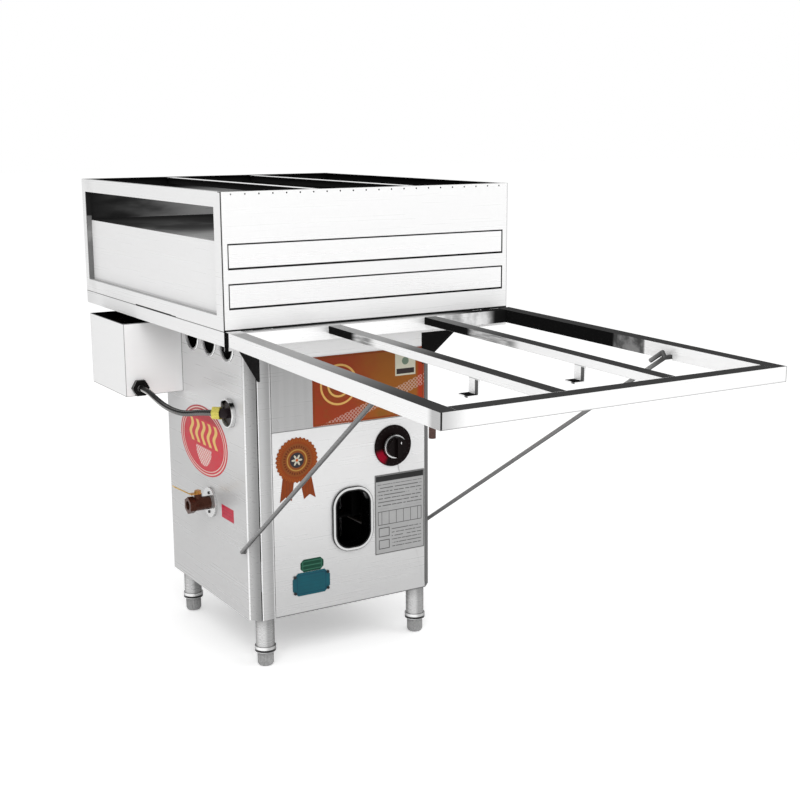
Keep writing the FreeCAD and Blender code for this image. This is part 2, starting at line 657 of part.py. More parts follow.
def make_inlet_valve():
    side = -CAB_HALF_W
    flange = rod(V(side - FLANGE_T, INLET_Y, INLET_Z), X_AXIS, FLANGE_RADIUS, FLANGE_T)
    add("inlet_flange", flange)

    out_x = side - FLANGE_T - BODY_LENGTH
    barrel = rod(V(out_x, INLET_Y, INLET_Z), X_AXIS, BODY_RADIUS, BODY_LENGTH)
    nut = hexagon(V(out_x, INLET_Y, INLET_Z), X_AXIS, BODY_HEX_HALF, BODY_HEX_LENGTH)
    stem_x = side - FLANGE_T - STEM_INSET
    boss = rod(V(stem_x, INLET_Y, INLET_Z), Z_AXIS, STEM_BOSS_RADIUS, STEM_BOSS_TOP)
    body = barrel.fuse(nut).fuse(boss)
    body = body.cut(rod(V(out_x, INLET_Y, INLET_Z), X_AXIS, INLET_BORE_RADIUS, INLET_BORE_DEPTH))
    stem_foot = INLET_Z + STEM_FOOT_RISE
    boss_top = INLET_Z + STEM_BOSS_TOP
    body = body.cut(rod(V(stem_x, INLET_Y, stem_foot), Z_AXIS, STEM_RADIUS + SHAFT_GAP, STEM_BOSS_TOP))
    add("inlet_valve_body", body)

    lever_z = boss_top + FIT_GAP
    half = LEVER_W / 2
    y0 = INLET_Y - half
    run = [
        V(stem_x + half, y0, lever_z),
        V(stem_x + half, y0, lever_z + LEVER_T),
        V(stem_x - LEVER_FLAT, y0, lever_z + LEVER_T),
        V(stem_x - LEVER_REACH, y0, lever_z + LEVER_T + LEVER_RISE),
        V(stem_x - LEVER_REACH, y0, lever_z + LEVER_RISE),
        V(stem_x - LEVER_FLAT, y0, lever_z),
    ]
    lever = prism(run, V(0, LEVER_W, 0))
    lever = lever.cut(rod(V(stem_x, INLET_Y, lever_z), Z_AXIS, STEM_RADIUS, LEVER_T))
    stem = rod(V(stem_x, INLET_Y, stem_foot + FIT_GAP), Z_AXIS, STEM_RADIUS,
               lever_z + LEVER_T - stem_foot - FIT_GAP)
    cap = hexagon(V(stem_x, INLET_Y, lever_z + LEVER_T), Z_AXIS, STEM_NUT_HALF, STEM_NUT_H)
    add("valve_lever", lever, stem.fuse(cap))


def make_water_box():
    x0 = -WATER_OUT_X
    x1 = -WATER_IN_X
    shell = block(x0, x1, WATER_FRONT_Y, WATER_REAR_Y, WATER_BOTTOM_Z, WATER_TOP_Z)
    inside = block(x0 + SHEET, x1 - SHEET, WATER_FRONT_Y + SHEET, WATER_REAR_Y - SHEET,
                   WATER_BOTTOM_Z + SHEET, WATER_TOP_Z)
    shell = shell.cut(inside)
    hem_z = WATER_TOP_Z - SHEET
    hem = block(x0, x1, WATER_FRONT_Y, WATER_REAR_Y, hem_z, WATER_TOP_Z)
    hem = hem.cut(block(x0 + WATER_HEM, x1 - WATER_HEM, WATER_FRONT_Y + WATER_HEM,
                        WATER_REAR_Y - WATER_HEM, hem_z, WATER_TOP_Z))
    shell = shell.fuse(hem)
    inlet = rod(V(FLOAT_X, WATER_REAR_Y - OVERRUN, FLOAT_BODY_Z), Y_AXIS,
                FLOAT_NIPPLE_RADIUS + SHAFT_GAP, 2 * OVERRUN)
    add("water_box", shell.cut(inlet))

    wall_in = WATER_REAR_Y - SHEET
    nipple = rod(V(FLOAT_X, wall_in, FLOAT_BODY_Z), Y_AXIS, FLOAT_NIPPLE_RADIUS,
                 SHEET + FLOAT_NIPPLE_LENGTH)
    nut = hexagon(V(FLOAT_X, WATER_REAR_Y, FLOAT_BODY_Z), Y_AXIS, FLOAT_NUT_HALF, FLOAT_NUT_H)
    body_y = wall_in - FLOAT_BODY_LENGTH
    body = rod(V(FLOAT_X, body_y, FLOAT_BODY_Z), Y_AXIS, FLOAT_BODY_RADIUS, FLOAT_BODY_LENGTH)
    pin_y = body_y - FLOAT_FORK_REACH / 2
    fork = block(FLOAT_X - FLOAT_FORK_W / 2, FLOAT_X + FLOAT_FORK_W / 2, body_y - FLOAT_FORK_REACH,
                 body_y, FLOAT_BODY_Z - FLOAT_FORK_W / 2, FLOAT_BODY_Z + FLOAT_FORK_W / 2)
    eye_gap = FLOAT_EYE_HALF_W + FIT_GAP
    slot = block(FLOAT_X - eye_gap, FLOAT_X + eye_gap, body_y - FLOAT_FORK_REACH,
                 pin_y + FLOAT_EYE_RADIUS + FIT_GAP, FLOAT_BODY_Z - FLOAT_FORK_W / 2,
                 FLOAT_BODY_Z + FLOAT_FORK_W / 2)
    pin = rod(V(FLOAT_X - FLOAT_FORK_W / 2, pin_y, FLOAT_BODY_Z), X_AXIS, FLOAT_PIN_RADIUS, FLOAT_FORK_W)
    valve = body.fuse(nipple).fuse(nut).fuse(fork).cut(slot).fuse(pin)
    bore_end = FLOAT_NIPPLE_LENGTH
    valve = valve.cut(rod(V(FLOAT_X, WATER_REAR_Y, FLOAT_BODY_Z), Y_AXIS, FLOAT_NIPPLE_BORE, bore_end))
    add("float_valve", valve)

    eye = rod(V(FLOAT_X - FLOAT_EYE_HALF_W, pin_y, FLOAT_BODY_Z), X_AXIS, FLOAT_EYE_RADIUS,
              2 * FLOAT_EYE_HALF_W)
    hub = V(FLOAT_X, pin_y, FLOAT_BODY_Z)
    tip = V(FLOAT_X, pin_y - FLOAT_ARM_RUN, FLOAT_BODY_Z - FLOAT_ARM_DROP)
    arm = eye.fuse(rod_between(hub, tip, FLOAT_ARM_RADIUS))
    arm = arm.cut(rod(V(FLOAT_X - FLOAT_EYE_HALF_W, pin_y, FLOAT_BODY_Z), X_AXIS,
                      FLOAT_PIN_RADIUS + SHAFT_GAP, 2 * FLOAT_EYE_HALF_W))
    along = tip - hub
    along.normalize()
    ball = Part.makeSphere(FLOAT_BALL_RADIUS, tip + along * FLOAT_BALL_RADIUS)
    add("float_arm", arm.cut(ball), ball)


def hose_tube():
    """Straight runs joined by tangent arcs, each as large as its runs allow."""
    radius = HOSE_DIAMETER / 2
    edges = []
    start = HOSE_ROUTE[0]
    length = 0.0
    for before, corner, after in zip(HOSE_ROUTE, HOSE_ROUTE[1:], HOSE_ROUTE[2:]):
        run_in = corner - before
        run_out = after - corner
        turn = run_in.getAngle(run_out)
        trim = HOSE_ARC_SHARE * min(run_in.Length, run_out.Length)
        arc_radius = trim / math.tan(turn / 2)
        run_in.normalize()
        run_out.normalize()
        arc_start = corner - run_in * trim
        arc_end = corner + run_out * trim
        middle = run_out - run_in
        middle.normalize()
        sag = arc_radius * (1 / math.cos(turn / 2) - 1)
        arc_mid = corner + middle * sag
        edges.append(Part.LineSegment(start, arc_start).toShape())
        edges.append(Part.Arc(arc_start, arc_mid, arc_end).toShape())
        length += (arc_start - start).Length + arc_radius * turn
        start = arc_end
        print("hose bend radius", round(arc_radius, 1), "turn", round(math.degrees(turn), 1))
    edges.append(Part.LineSegment(start, HOSE_ROUTE[-1]).toShape())
    length += (HOSE_ROUTE[-1] - start).Length
    path = Part.Wire(edges)
    first = HOSE_ROUTE[1] - HOSE_ROUTE[0]
    mouth = Part.Wire([Part.makeCircle(radius, HOSE_ROUTE[0], first)])
    tube = path.makePipeShell([mouth], True, False)
    section = math.pi * radius * radius
    print("hose length", round(length, 2), "volume over section", round(tube.Volume / section, 2))
    return tube


def make_hose():
    add("braided_hose", hose_tube())

    face = WATER_FRONT_Y
    fitting = hexagon(V(TANK_FITTING_X, face - TANK_FITTING_H, TANK_FITTING_Z), Y_AXIS,
                      TANK_FITTING_RADIUS, TANK_FITTING_H)
    ferrule = rod(V(TANK_FITTING_X, face - TANK_FITTING_H - FERRULE_LENGTH, TANK_FITTING_Z), Y_AXIS,
                  FERRULE_RADIUS, FERRULE_LENGTH)
    add("tank_hose_fitting", fitting.fuse(ferrule))

    side = -CAB_HALF_W
    rim = ring(V(side - HOSE_RIM_H, HOSE_HOLE_Y, HOSE_HOLE_Z), X_AXIS, HOSE_RIM_RADIUS,
               HOSE_HOLE_RADIUS, HOSE_RIM_H)
    add("hose_hole_rim", rim)

    plate = rod(V(side - ELBOW_PLATE_T, HOSE_HOLE_Y, HOSE_HOLE_Z), X_AXIS, ELBOW_PLATE_RADIUS,
                ELBOW_PLATE_T + SHEET)
    backing = rod(V(side + SHEET, HOSE_HOLE_Y, HOSE_HOLE_Z), X_AXIS, HOSE_RIM_RADIUS, ELBOW_PLATE_T)
    bend = V(side - ELBOW_OUT, HOSE_HOLE_Y, HOSE_HOLE_Z)
    slant = V(-1, 1, 0)
    slant.normalize()
    neck = rod_between(V(side, HOSE_HOLE_Y, HOSE_HOLE_Z), bend, ELBOW_RADIUS)
    nut_start = bend + slant * ELBOW_ARM
    arm = rod_between(bend, nut_start, ELBOW_RADIUS)
    elbow = plate.fuse(backing).fuse(neck).fuse(Part.makeSphere(ELBOW_RADIUS, bend)).fuse(arm)
    add("hose_elbow", elbow)
    add("hose_nut", hexagon(nut_start, slant, HOSE_NUT_HALF, HOSE_NUT_LENGTH))


# Steam box

def face_slot(z0):
    top = z0 + DRAWER_FACE_H + DRAWER_TOP_GAP
    half = DRAWER_FACE_HALF_W + DRAWER_SIDE_GAP
    return block(-half, half, 0, SHEET, z0 - DRAWER_BOTTOM_GAP, top)


def make_box_shell():
    w = BOX_HALF_W
    hem_z = BOX_TOP_Z - SHEET
    front = block(-w, w, 0, SHEET, DECK_Z, BOX_TOP_Z)
    front = front.fuse(block(-w, w, SHEET, SHEET + BOX_HEM, hem_z, BOX_TOP_Z))
    front = front.cut(face_slot(LOWER_FACE_Z)).cut(face_slot(UPPER_FACE_Z))
    first_x = -DOT_PITCH * (DOT_COUNT - 1) / 2
    for k in range(DOT_COUNT):
        spot = V(first_x + k * DOT_PITCH, 0, BOX_TOP_Z - DOT_DROP)
        front = front.cut(rod(spot, Y_AXIS, DOT_RADIUS, SHEET))
    add("box_front_panel", front)

    back = block(-w, w, BACK_IN_Y, BOX_DEPTH, DECK_Z, BOX_TOP_Z)
    back = back.fuse(block(-w, w, BACK_IN_Y - BOX_HEM, BACK_IN_Y, hem_z, BOX_TOP_Z))
    add("box_back_panel", back)

    hem_y0 = SHEET + BOX_HEM
    hem_y1 = BACK_IN_Y - BOX_HEM
    right = block(w - SHEET, w, SHEET, BACK_IN_Y, DECK_Z, hem_z)
    right = right.fuse(block(w - SHEET - BOX_HEM, w, hem_y0, hem_y1, hem_z, BOX_TOP_Z))
    add("box_right_panel", right)

    frame = block(-w, -w + SHEET, SHEET, BACK_IN_Y, DECK_Z, hem_z)
    window = block(-w, -w + SHEET, POST_FRONT_W, BOX_DEPTH - POST_REAR_W, LEDGE_Z,
                   BOX_TOP_Z - TOP_RAIL_H)
    frame = frame.cut(window)
    inner_x = -CHAMBER_HALF_W - SHEET
    rail_z = BOX_TOP_Z - TOP_RAIL_H
    frame = frame.fuse(block(-w, inner_x, POST_FRONT_W, BOX_DEPTH - POST_REAR_W, LEDGE_Z - SHEET, LEDGE_Z))
    frame = frame.fuse(block(-w, inner_x, POST_FRONT_W - SHEET, POST_FRONT_W, LEDGE_Z - SHEET, rail_z))
    rear = BOX_DEPTH - POST_REAR_W
    frame = frame.fuse(block(-w, inner_x, rear, rear + SHEET, LEDGE_Z - SHEET, rail_z))
    frame = frame.fuse(block(-w, -w + SHEET + BOX_HEM, hem_y0, hem_y1, hem_z, BOX_TOP_Z))
    drip = block(-w, -w + SHEET, DRIP_SLOT_Y0, DRIP_SLOT_Y1, DECK_Z, DECK_Z + DRIP_SLOT_H)
    add("left_side_frame", frame.cut(drip))

    roof_z = ROOF_Z - SHEET
    add("chamber_roof", block(inner_x, w - SHEET, SHEET, BACK_IN_Y, roof_z, ROOF_Z))

    wall_y0 = SHEET + FIT_GAP
    wall = block(-CHAMBER_HALF_W - SHEET, -CHAMBER_HALF_W, wall_y0, BACK_IN_Y, DECK_Z, roof_z)
    runners = []
    for face_z in (LOWER_FACE_Z, UPPER_FACE_Z):
        z = face_z + RUNNER_LIFT
        angle = block(-CHAMBER_HALF_W, -CHAMBER_HALF_W + RUNNER_W, wall_y0, BACK_IN_Y, z - RUNNER_T, z)
        angle = angle.fuse(block(-CHAMBER_HALF_W, -CHAMBER_HALF_W + RUNNER_T, wall_y0, BACK_IN_Y,
                                 z, z + RUNNER_UP))
        runners.append(angle)
    add("left_chamber_wall", wall, *runners)
    add("right_chamber_wall", mirrored(wall), *[mirrored(r) for r in runners])

    bar_z = hem_z
    bars = []
    for x in (-TOP_BAR_X, TOP_BAR_X):
        flange = block(x - TOP_BAR_W / 2, x + TOP_BAR_W / 2, SHEET, BACK_IN_Y, bar_z - TOP_BAR_T, bar_z)
        web = block(x - TOP_BAR_T / 2, x + TOP_BAR_T / 2, SHEET, BACK_IN_Y, bar_z - TOP_BAR_WEB,
                    bar_z - TOP_BAR_T)
        bars.append(flange.fuse(web))
    add("top_bars", *bars)


def make_drawer(prefix, face_z):
    """A flush face on a frame with ledges and two bars, and the tray in it."""
    face = block(-DRAWER_FACE_HALF_W, DRAWER_FACE_HALF_W, 0, SHEET, face_z, face_z + DRAWER_FACE_H)
    w = DRAWER_HALF_W
    z0 = face_z + RUNNER_LIFT + FIT_GAP
    z1 = z0 + DRAWER_RAIL_H
    outer = block(-w, w, SHEET, DRAWER_LENGTH, z0, z1)
    inner = block(-w + SHEET, w - SHEET, SHEET + SHEET, DRAWER_LENGTH - SHEET, z0 + SHEET, z1)
    opening = block(-w + DRAWER_LEDGE_W, w - DRAWER_LEDGE_W, SHEET + DRAWER_LEDGE_W,
                    DRAWER_LENGTH - DRAWER_LEDGE_W, z0, z0 + SHEET)
    frame = outer.cut(inner).cut(opening)
    for x in (-DRAWER_BAR_X, DRAWER_BAR_X):
        frame = frame.fuse(block(x - DRAWER_BAR_W / 2, x + DRAWER_BAR_W / 2, SHEET + DRAWER_LEDGE_W,
                                 DRAWER_LENGTH - DRAWER_LEDGE_W, z0, z0 + SHEET))
    add(prefix + "_drawer", face, frame)

    tx = w - SHEET - TRAY_SIDE_GAP
    ty0 = 2 * SHEET + TRAY_SIDE_GAP
    ty1 = DRAWER_LENGTH - SHEET - TRAY_SIDE_GAP
    tz0 = z0 + SHEET
    tray = block(-tx, tx, ty0, ty1, tz0, tz0 + TRAY_H)
    inside = block(-tx + TRAY_WALL, tx - TRAY_WALL, ty0 + TRAY_WALL, ty1 - TRAY_WALL,
                   tz0 + TRAY_WALL, tz0 + TRAY_H)
    add(prefix + "_tray", tray.cut(inside))


# Front shelf, drawn level and then let down by its droop

def lowered(shape):
    turned = shape.copy()
    turned.rotate(V(0, SHELF_HINGE_Y, HINGE_PIN_Z), X_AXIS, SHELF_DROOP_DEG)
    return turned


def rail_x(y):
    """Outer side of the left rail, which runs outward to the front."""
    way = (SHELF_HINGE_Y - y) / SHELF_LENGTH
    return -SHELF_BACK_HALF_W - (SHELF_FRONT_HALF_W - SHELF_BACK_HALF_W) * way


def along_rail(inset, width, y0, y1, z0, z1):
    """A strip that follows the left rail, set in from its outer side."""
    front = rail_x(y0) + inset
    back = rail_x(y1) + inset
    plan = [V(front, y0, z0), V(front + width, y0, z0), V(back + width, y1, z0), V(back, y1, z0)]
    return prism(plan, V(0, 0, z1 - z0))


def between_rails(y0, y1, z0, z1):
    """A strip across the shelf, cut to the inner sides of both side rails."""
    front = -rail_x(y0) - RAIL_W
    back = -rail_x(y1) - RAIL_W
    plan = [V(-front, y0, z0), V(front, y0, z0), V(back, y1, z0), V(-back, y1, z0)]
    return prism(plan, V(0, 0, z1 - z0))


def cross_rail(y0, y1):
    """A folded rail across the shelf, open below."""
    low = SHELF_TOP_Z - RAIL_H
    under = SHELF_TOP_Z - RAIL_T
    rail = between_rails(y0, y1, under, SHELF_TOP_Z)
    rail = rail.fuse(between_rails(y0, y0 + RAIL_T, low, under))
    return rail.fuse(between_rails(y1 - RAIL_T, y1, low, under))


def notch_place():
    """Centre of the round end of the notch that holds a strut."""
    y = SHELF_HINGE_Y - NOTCH_Y
    return V(rail_x(y), y, SHELF_TOP_Z - RAIL_H + NOTCH_RISE)


def side_rail():
    """The left rail: a channel with its end cap and the notch for its strut."""
    front_y = SHELF_FRONT_Y
    back_y = SHELF_HINGE_Y
    low = SHELF_TOP_Z - RAIL_H
    under = SHELF_TOP_Z - RAIL_T
    rail = along_rail(0, RAIL_W, front_y, back_y, under, SHELF_TOP_Z)
    rail = rail.fuse(along_rail(0, RAIL_T, front_y, back_y, low, under))
    rail = rail.fuse(along_rail(RAIL_W - RAIL_T, RAIL_T, front_y, back_y, low, under))
    rail = rail.fuse(along_rail(RAIL_T, RAIL_W - 2 * RAIL_T, front_y, front_y + RAIL_T, low, under))
    spot = notch_place()
    half = STRUT_RADIUS + STRUT_HOLE_GAP
    start_x = spot.x + RAIL_W / 2
    notch = block(start_x, start_x + RAIL_W, spot.y - half, spot.y + half, low - OVERRUN, spot.z)
    notch_top = rod(V(start_x, spot.y, spot.z), X_AXIS, half, RAIL_W)
    return rail.cut(notch).cut(notch_top)


def make_shelf():
    front_y = SHELF_FRONT_Y
    back_y = SHELF_HINGE_Y
    low = SHELF_TOP_Z - RAIL_H
    left = side_rail()
    add("shelf_left_rail", lowered(left))
    add("shelf_right_rail", lowered(mirrored(left)))

    add("shelf_front_rail", lowered(cross_rail(front_y, front_y + RAIL_W)))
    back = cross_rail(back_y - RAIL_W, back_y)
    clear = HINGE_EYE_RADIUS + HINGE_RELIEF
    for side in (-1, 1):
        for slot_x0, slot_x1 in hinge_spans(side, "fixed"):
            back = back.cut(block(slot_x0 - HINGE_KNUCKLE_GAP, slot_x1 + HINGE_KNUCKLE_GAP,
                                  back_y - clear, back_y, HINGE_PIN_Z - clear, SHELF_TOP_Z))
        for eye_x0, eye_x1 in hinge_spans(side, "moving"):
            eye = rod(V(eye_x0, back_y, HINGE_PIN_Z), X_AXIS, HINGE_EYE_RADIUS, eye_x1 - eye_x0)
            back = back.fuse(eye)
    for side in (-1, 1):
        x0 = side * HINGE_X - HINGE_W / 2
        back = back.cut(rod(V(x0, back_y, HINGE_PIN_Z), X_AXIS, HINGE_PIN_RADIUS + SHAFT_GAP, HINGE_W))
    add("shelf_back_rail", lowered(back))

    bar_y0 = front_y + RAIL_W
    bar_y1 = back_y - RAIL_W
    hook_y = SHELF_HINGE_Y - HOOK_Y
    for name, x in (("shelf_bar_left", -SHELF_BAR_X), ("shelf_bar_right", SHELF_BAR_X)):
        x0 = x - SHELF_BAR_W / 2
        bar_low = SHELF_TOP_Z - SHELF_BAR_H
        under = SHELF_TOP_Z - RAIL_T
        bar = block(x0, x0 + SHELF_BAR_W, bar_y0, bar_y1, under, SHELF_TOP_Z)
        for wall_x in (x0, x0 + SHELF_BAR_W - RAIL_T):
            bar = bar.fuse(block(wall_x, wall_x + RAIL_T, bar_y0, bar_y1, bar_low, under))
        hang = block(x0, x0 + HOOK_T, hook_y - HOOK_W / 2, hook_y + HOOK_W / 2, bar_low - HOOK_DROP, bar_low)
        toe = block(x0 - HOOK_FOOT, x0, hook_y - HOOK_W / 2, hook_y + HOOK_W / 2,
                    bar_low - HOOK_DROP, bar_low - HOOK_DROP + HOOK_T)
        add(name, lowered(bar.fuse(hang).fuse(toe)))

    spigot_y = front_y + SPIGOT_INSET
    spigot_x = rail_x(spigot_y) + RAIL_W / 2
    base = block(spigot_x - RAIL_W / 2 + RAIL_T, spigot_x + RAIL_W / 2 - RAIL_T,
                 spigot_y - SPIGOT_RADIUS, spigot_y + SPIGOT_RADIUS, low, low + RAIL_T)
    tube = rod(V(spigot_x, spigot_y, low - SPIGOT_LENGTH), Z_AXIS, SPIGOT_RADIUS, SPIGOT_LENGTH)
    bore = rod(V(spigot_x, spigot_y, low - SPIGOT_LENGTH), Z_AXIS, SPIGOT_BORE, SPIGOT_LENGTH + RAIL_T)
    add("shelf_spigot", lowered(base.fuse(tube).cut(bore)))


def hinge_spans(side, kind):
    """The three knuckles of one hinge: the middle one moves with the shelf."""
    x0 = side * HINGE_X - HINGE_W / 2
    third = HINGE_W / 3
    gap = HINGE_KNUCKLE_GAP / 2
    if kind == "moving":
        return [(x0 + third + gap, x0 + 2 * third - gap)]
    return [(x0, x0 + third - gap), (x0 + 2 * third + gap, x0 + 3 * third)]


def make_hinges():
    leaves = []
    pins = []
    for side in (-1, 1):
        x0 = side * HINGE_X - HINGE_W / 2
        leaf = block(x0, x0 + HINGE_W, -HINGE_LEAF_T, 0, HINGE_PIN_Z - HINGE_LEAF_LOW,
                     HINGE_PIN_Z + HINGE_LEAF_RISE)
        for eye_x0, eye_x1 in hinge_spans(side, "fixed"):
            eye = rod(V(eye_x0, SHELF_HINGE_Y, HINGE_PIN_Z), X_AXIS, HINGE_EYE_RADIUS, eye_x1 - eye_x0)
            neck = block(eye_x0, eye_x1, SHELF_HINGE_Y, -HINGE_LEAF_T, HINGE_PIN_Z - HINGE_LEAF_RISE,
                         HINGE_PIN_Z + HINGE_LEAF_RISE)
            leaf = leaf.fuse(eye).fuse(neck)
        pin_spot = V(x0, SHELF_HINGE_Y, HINGE_PIN_Z)
        leaves.append(leaf.cut(rod(pin_spot, X_AXIS, HINGE_PIN_RADIUS, HINGE_W)))
        pins.append(rod(pin_spot, X_AXIS, HINGE_PIN_RADIUS, HINGE_W))
    add("shelf_hinges", *leaves, *pins)


def make_struts():
    """Rods with a bent foot, and a head that is bent back and has its tip in the rail's notch."""
    head = lowered(Part.Vertex(notch_place())).Point
    head_tip = V(head.x + RAIL_W - RAIL_T - STRUT_HEAD_TIP, head.y, head.z)
    head.x = head.x + RAIL_W + STRUT_HEAD_INSET
    foot = V(-STRUT_FOOT_X, STRUT_FOOT_Y, STRUT_FOOT_Z)
    foot_tip = V(-CAB_HALF_W + STRUT_FOOT_INSIDE, STRUT_FOOT_Y, STRUT_FOOT_Z)
    strut = rod_between(foot, head, STRUT_RADIUS)
    for end, tip in ((foot, foot_tip), (head, head_tip)):
        strut = strut.fuse(Part.makeSphere(STRUT_RADIUS, end)).fuse(rod_between(end, tip, STRUT_RADIUS))
    down = foot - head
    down.normalize()
    aside = X_AXIS.cross(down)
    aside.normalize()
    turn = head + aside * STRUT_HOOK_GAP
    strut = strut.fuse(rod_between(head, turn, STRUT_RADIUS)).fuse(Part.makeSphere(STRUT_RADIUS, turn))
    strut = strut.fuse(rod_between(turn, turn + down * STRUT_HOOK_LEG, STRUT_RADIUS))
    add("strut_left", strut)
    add("strut_right", mirrored(strut))


def main():
    make_cabinet()
    make_gussets()
    make_legs()
    make_deck()
    make_burner()
    make_gas_line()
    make_controls()
    make_port()
    make_plate()
    make_inlet_valve()
    make_water_box()
    make_hose()
    make_box_shell()
    make_drawer("upper", UPPER_FACE_Z)
    make_drawer("lower", LOWER_FACE_Z)
    make_shelf()
    make_hinges()
    make_struts()

    os.makedirs("parts", exist_ok=True)
    for name, shape in NODES.items():
        placed = shape.copy()
        placed.translate(-ORIGIN)
        placed.exportStep(os.path.join("parts", name + ".step"))
    print("nodes", len(NODES), "origin", ORIGIN)


main()
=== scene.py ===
import math
from functools import reduce

import bpy
import numpy as np
from mathutils import Matrix, Vector


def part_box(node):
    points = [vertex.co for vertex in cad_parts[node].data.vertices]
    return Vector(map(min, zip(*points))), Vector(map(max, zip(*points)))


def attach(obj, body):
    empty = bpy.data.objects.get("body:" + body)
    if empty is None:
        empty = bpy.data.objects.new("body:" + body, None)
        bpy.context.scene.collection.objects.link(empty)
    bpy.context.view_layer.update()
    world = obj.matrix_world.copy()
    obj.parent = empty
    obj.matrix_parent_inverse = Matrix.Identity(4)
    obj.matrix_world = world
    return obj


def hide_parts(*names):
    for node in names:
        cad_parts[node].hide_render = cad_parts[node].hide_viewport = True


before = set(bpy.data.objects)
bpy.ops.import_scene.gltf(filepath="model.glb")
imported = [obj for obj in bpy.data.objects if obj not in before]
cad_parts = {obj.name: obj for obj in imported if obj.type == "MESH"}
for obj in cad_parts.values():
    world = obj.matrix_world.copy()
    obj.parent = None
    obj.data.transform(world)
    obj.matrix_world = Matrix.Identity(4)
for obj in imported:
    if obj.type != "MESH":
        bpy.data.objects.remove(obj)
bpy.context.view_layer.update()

bl_info = {
    "name": "Noodle Roll Steamer Looks",
    "version": (1, 0, 0),
    "blender": (4, 5, 0),
    "location": "3D View > Sidebar > Steamer",
    "description": "Gives the packed steamer its finishes, signs, hose and studio",
    "category": "Object",
}

FRONT_LOW, FRONT_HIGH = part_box("box_front_panel")
DATUM = Vector(((FRONT_LOW.x + FRONT_HIGH.x) / 2, FRONT_LOW.y, 0.0))
MM = 0.001
SIDES = ("Left", "Right", "Front", "Back", "Up", "Down")
WELD_DISTANCE, SHARP_ANGLE = 0.00001, math.radians(40)

# Places on the steamer, in working millimetres
DRAWER_FACES = ((743.0, 784.4), (813.6, 855.0))
SHELF_TOP, SHELF_HINGE_BACK, SHELF_DROOP = 703.0, 8.0, math.tan(math.radians(1.1))
PORT_CORNER = 39.0
SIDE_FACE, DOOR_FACE = -210, 121
VENT_HEIGHT, VENT_ROWS = 642, (209.0, 294.5, 380.0)
VENT_LIP = [(-0.2, 29.0), (1.6, 29.2), (2.8, 30.4), (2.8, 32.6), (1.6, 34.0), (-0.2, 34.4)]
HOSE_ROUTE = [(-306, 422, 530), (-306, 390, 530), (-305.5, 352, 521.5), (-300.5, 316, 512),
              (-291, 287, 505.5), (-277.5, 264, 503), (-257.597, 241.597, 508), (-237.597, 221.597, 508)]
HOSE_LENGTH, HOSE_RINGS, HOSE_SIDES, STRANDS = 0.225, 360, 48, 12
OVAL_SIZE, LABEL_SIZE, PLATE_SIZE, TAG_SIZE = (240.0, 146.0), (58.0, 27.0), (119.5, 170.0), (52.0, 26.0)
CAMERA_PLACE, CAMERA_TURN = (-1253.58, -2161.22, 1057.35), (31.23, -11.577, -0.275)
FLOOR_STEPS, FLOOR_DROP, FLOOR_GLOW = 25, -0.0002, 0.36


def at(x, y, z):
    """Millimetres from the middle of the box's face, back from it, and up from the floor, as a point."""
    return DATUM + Vector((x, y, z)) * MM


# Settings

def colour_setting(name, description, default):
    return bpy.props.FloatVectorProperty(
        name=name, description=description, default=default, size=3, subtype="COLOR", min=0, max=1)


def length_setting(name, description, default, least):
    return bpy.props.FloatProperty(
        name=name, description=description, default=default, min=least, unit="LENGTH")


class SteamerSteel(bpy.types.PropertyGroup):
    box_colour: colour_setting("Box Colour", "Polished sheet of the steam box and shelf", (0.90, 0.90, 0.90))
    # The cabinet's side, door and fascia greys are partly the sheet's own tone and partly painted shade and
    # reflection: the sides darker than the door, the fascia under the shelf darker still.
    side_colour: colour_setting("Side Colour", "Satin sheet of the cabinet's sides", (0.60, 0.60, 0.60))
    front_colour: colour_setting("Front Colour", "Satin sheet of the cabinet's door panel", (0.73, 0.73, 0.73))
    fascia_colour: colour_setting("Fascia Colour", "Brushed sheet over the door panel", (0.42, 0.42, 0.42))
    # Painted reflection: the shelf's dark upper faces stand in for the dark ceiling they reflect.
    top_colour: colour_setting("Top Colour", "Dark polish of the shelf's upper faces", (0.045, 0.045, 0.045))
    inner_colour: colour_setting("Inner Colour", "Unlit inside of box and cabinet", (0.010, 0.010, 0.010))


class SteamerSigns(bpy.types.PropertyGroup):
    sign_red: colour_setting("Sign Red", "Red of the oval sign", (0.62, 0.020, 0.040))
    sign_orange: colour_setting("Sign Orange", "Orange of fascia sign and rosette", (0.46, 0.085, 0.012))
    sign_yellow: colour_setting("Sign Yellow", "Yellow of the motifs", (0.85, 0.55, 0.16))
    sign_pale: colour_setting("Sign Pale", "Pale ink of borders and lines", (0.80, 0.62, 0.55))
    tag_green: colour_setting("Tag Green", "Green of the eight-sided tag", (0.007, 0.117, 0.065))
    thickness: length_setting("Sign Thickness", "Thickness of a printed sheet", 0.0004, 0.0001)


class SteamerHose(bpy.types.PropertyGroup):
    diameter: length_setting("Hose Diameter", "Outer diameter of the braided hose", 0.012, 0.004)
    strand_relief: length_setting("Strand Relief", "Height of the woven strands", 0.00028, 0)
    strand_turns: bpy.props.IntProperty(
        name="Strand Turns", description="Turns that a strand makes along the hose", default=16, min=1)


class SteamerStage(bpy.types.PropertyGroup):
    lens: bpy.props.FloatProperty(
        name="Lens", description="Focal length for a 36 mm sensor", default=60.18, min=10)
    sky: bpy.props.FloatProperty(name="Sky", description="Light from all round", default=0.72, min=0)
    key_power: bpy.props.FloatProperty(
        name="Key Power", description="Power of the large soft lamp", default=60.0, min=0, subtype="POWER")
    floor_size: length_setting("Floor Size", "Width of the floor", 60.0, 5)


# Shader building

